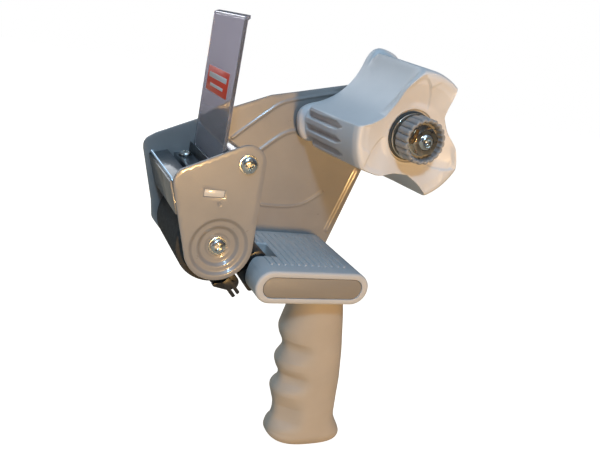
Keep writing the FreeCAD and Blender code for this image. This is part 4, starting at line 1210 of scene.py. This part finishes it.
def build_label():
    """Red patch with two plain bars, on the flap's front."""
    low, high = mm_box("flap_label")
    plate = soften(rectangle(low.y, low.z, high.y, high.z), 0.9, 4)
    rings = [[(x, u, v) for u, v in inset_loop(plate, cut)]
             for x, cut in ((high.x, 0.0), (low.x + 0.05, 0.0), (low.x, 0.08))]
    finish(lofted("flap_label_film", rings, 40.0), "flap", "flap_label", LABEL_RED)

    middle, wide, tall = (low.y + high.y) / 2, high.y - low.y, high.z - low.z
    bars = []
    for share, thick, length in ((0.66, 2.6, 0.84), (0.28, 1.5, 0.62)):
        z, half = low.z + tall * share, wide * length / 2
        outline = soften(rectangle(middle - half, z - thick / 2, middle + half, z + thick / 2), 0.5, 3)
        rings = [[(x, u, v) for u, v in inset_loop(outline, cut)]
                 for x, cut in ((low.x + 0.03, 0.0), (low.x - 0.04, 0.0), (low.x - 0.06, 0.04))]
        bars.append((mesh_only(lofted("bar", rings)), STILL))
    finish(joined("flap_label_bars", bars), "flap", "flap_label", LABEL_WHITE, replaces=False)


def build_plain_pieces():
    """Hard-edged parts whose CAD shape is right: rounded edges and the right finish."""
    for node, width, body, material in (
            ("upper_tie_rod", 0.3, "frame", SHAFT_STEEL), ("spacer_bar", 0.35, "frame", TENON_STEEL),
            ("cross_plate", 0.3, "frame", ENAMEL_PAINTED_SHADE), ("front_cover", 0.3, "frame", COVER_ENAMEL_PAINTED_SHADE),
            ("cutting_blade", 0.08, "frame", BLADE_STEEL), ("blade_holder", 0.3, "frame", ENAMEL_PAINTED_SHADE),
            ("flap_clamp_strip", 0.25, "frame", BLACK_PLASTIC), ("roller_axle", 0.2, "frame", SHAFT_STEEL),
            ("roller_core", 0.4, "roller", DARK_PLASTIC), ("roller_bushes", 0.3, "roller", DARK_PLASTIC),
            ("comb_shaft", 0.3, "frame", SHAFT_STEEL), ("stop_comb", 0.3, "comb", BLACK_PLASTIC),
            ("release_lever", 0.5, "lever", BLACK_PLASTIC), ("lever_pin", 0.15, "frame", SHAFT_STEEL),
            ("handle_bracket", 0.3, "frame", SHAFT_STEEL)):
        bevelled(node, width, body, material)
    for node in ("comb_spring", "brake_spring"):
        NODES[node].data.materials.clear()
        NODES[node].data.materials.append(SPRING_STEEL)


# Stage, lights and camera
WHITE = (1.0, 1.0, 1.0, 1.0)
VEIL = (0.37, 0.345, 0.40, 1.0)             # what the clear sheet shows of the empty studio
FLOOR_GLOW = 0.97
ROOM_STRENGTH = 0.42


def by_ray(tree, usual, through, seen):
    """`seen` towards the camera, `through` behind the clear sheet, and `usual` otherwise."""
    rays = add_node(tree, "LightPath").outputs
    behind = mixed_shader(tree, rays["Is Transmission Ray"], usual, through)
    return mixed_shader(tree, rays["Is Camera Ray"], behind, seen)


def stage_material():
    """Pale matt floor that keeps its brightness towards the camera."""
    look = Surface("sweep", Roughness=0.9)
    look.colour(look.mix(look.span(look.noise(0.004), 0.3, 0.7), (0.62, 0.50, 0.36), (0.66, 0.53, 0.38)))
    tree, matt = look.tree, look.shader.outputs[0]
    bright = tree.nodes.new("ShaderNodeAddShader")
    tree.links.new(matt, bright.inputs[0])
    glow = add_node(tree, "Emission", Color=WHITE, Strength=FLOOR_GLOW)
    tree.links.new(glow.outputs[0], bright.inputs[1])
    veil = add_node(tree, "Emission", Color=VEIL)
    tree.links.new(by_ray(tree, matt, veil.outputs[0], bright.outputs[0]),
                   tree.nodes["Material Output"].inputs["Surface"])
    return look.material


def build_stage():
    floor_z = mm_box("handle_grip")[0].z - 1.5
    verts = [(x, y, floor_z) for y in (-4000.0, 2500.0) for x in (-6000.0, 6000.0)]
    floor = mesh_object("floor", verts, [(0, 1, 3, 2)])
    floor.data.materials.append(stage_material())


def area_light(name, towards, distance, size, colour, power):
    """Square lamp aimed at the object; `towards` is the way its light travels."""
    data = bpy.data.lights.new(name, "AREA")
    data.shape = "SQUARE"
    data.size = size
    data.energy = power
    data.color = colour
    lamp = bpy.data.objects.new(name, data)
    way = Vector(towards).normalized()
    middle = Vector((-0.04, 0.0, -0.05))    # of the object
    lamp.location = middle - way * distance
    lamp.rotation_euler = way.to_track_quat("-Z", "Y").to_euler()
    bpy.context.scene.collection.objects.link(lamp)


def build_lights():
    for name, towards, distance, size, colour, power in (
            ("key_warm", (-0.10, 1.0, 0.055), 1.6, 0.09, (1.0, 0.60, 0.22), 15.2),
            ("key_cool", (0.40, 1.0, -0.80), 1.6, 0.14, (0.40, 0.68, 1.0), 10.5),
            ("fill_top", (0.15, 0.3, -1.0), 1.2, 0.7, (0.55, 0.78, 1.0), 3.3),
            ("fill_low", (0.1, 0.2, 1.0), 1.2, 0.8, (1.0, 0.66, 0.36), 1.5),
            ("fill_front", (1.0, 0.25, -0.1), 1.4, 0.6, (0.80, 0.88, 1.0), 1.0),
            ("fill_back", (0.35, -1.0, -0.45), 1.4, 0.8, (0.92, 0.96, 1.0), 5.0)):
        area_light(name, towards, distance, size, colour, power)


def build_room():
    """World that lights warmly from below and coolly from above; white towards the camera."""
    world = bpy.data.worlds.new("studio")
    bpy.context.scene.world = world
    world.use_nodes = True
    tree = world.node_tree
    place = add_node(tree, "TexCoord").outputs["Generated"]
    height = add_node(tree, "SeparateXYZ", Vector=place).outputs["Z"]
    share = add_node(tree, "MapRange", From_Min=-1.0, Value=height).outputs["Result"]
    ramp = add_node(tree, "ValToRGB", Fac=share)
    stops = ramp.color_ramp.elements
    stops[0].position, stops[0].color = 0.30, (0.10, 0.065, 0.035, 1.0)
    stops[1].position, stops[1].color = 0.95, (0.36, 0.46, 0.62, 1.0)
    stops.new(0.52).color = (0.07, 0.08, 0.10, 1.0)
    room = tree.nodes["Background"]
    tree.links.new(ramp.outputs["Color"], room.inputs["Color"])
    room.inputs["Strength"].default_value = ROOM_STRENGTH
    veil = add_node(tree, "Background", Color=VEIL)
    seen = add_node(tree, "Background", Color=WHITE)
    tree.links.new(by_ray(tree, room.outputs[0], veil.outputs[0], seen.outputs[0]),
                   tree.nodes["World Output"].inputs["Surface"])


def build_camera():
    data = bpy.data.cameras.new("camera")
    data.sensor_width = 36.0
    data.lens = 38.6
    data.clip_start = 0.01
    camera = bpy.data.objects.new("camera", data)
    place = (-0.192, -0.320, 0.040)
    yaw, pitch, roll = math.radians(26.1), math.radians(16.4), math.radians(11.9)
    turn = Matrix.Rotation(-yaw, 4, "Z") @ Matrix.Rotation(math.pi / 2 - pitch, 4, "X")
    turn = turn @ Matrix.Rotation(roll, 4, "Z")
    camera.matrix_world = Matrix.Translation(place) @ turn
    bpy.context.scene.collection.objects.link(camera)
    bpy.context.scene.camera = camera


build_camera()
build_lights()
build_room()
build_stage()
build_frame_plate()
build_front_side_plate()
build_screws()
build_washers()
build_hub_core()
build_knob()
build_brake_stack()
build_grip()
build_shelf()
build_roller()
build_flap()
build_label()
build_plain_pieces()
bpy.context.scene.view_settings.view_transform = "Standard"
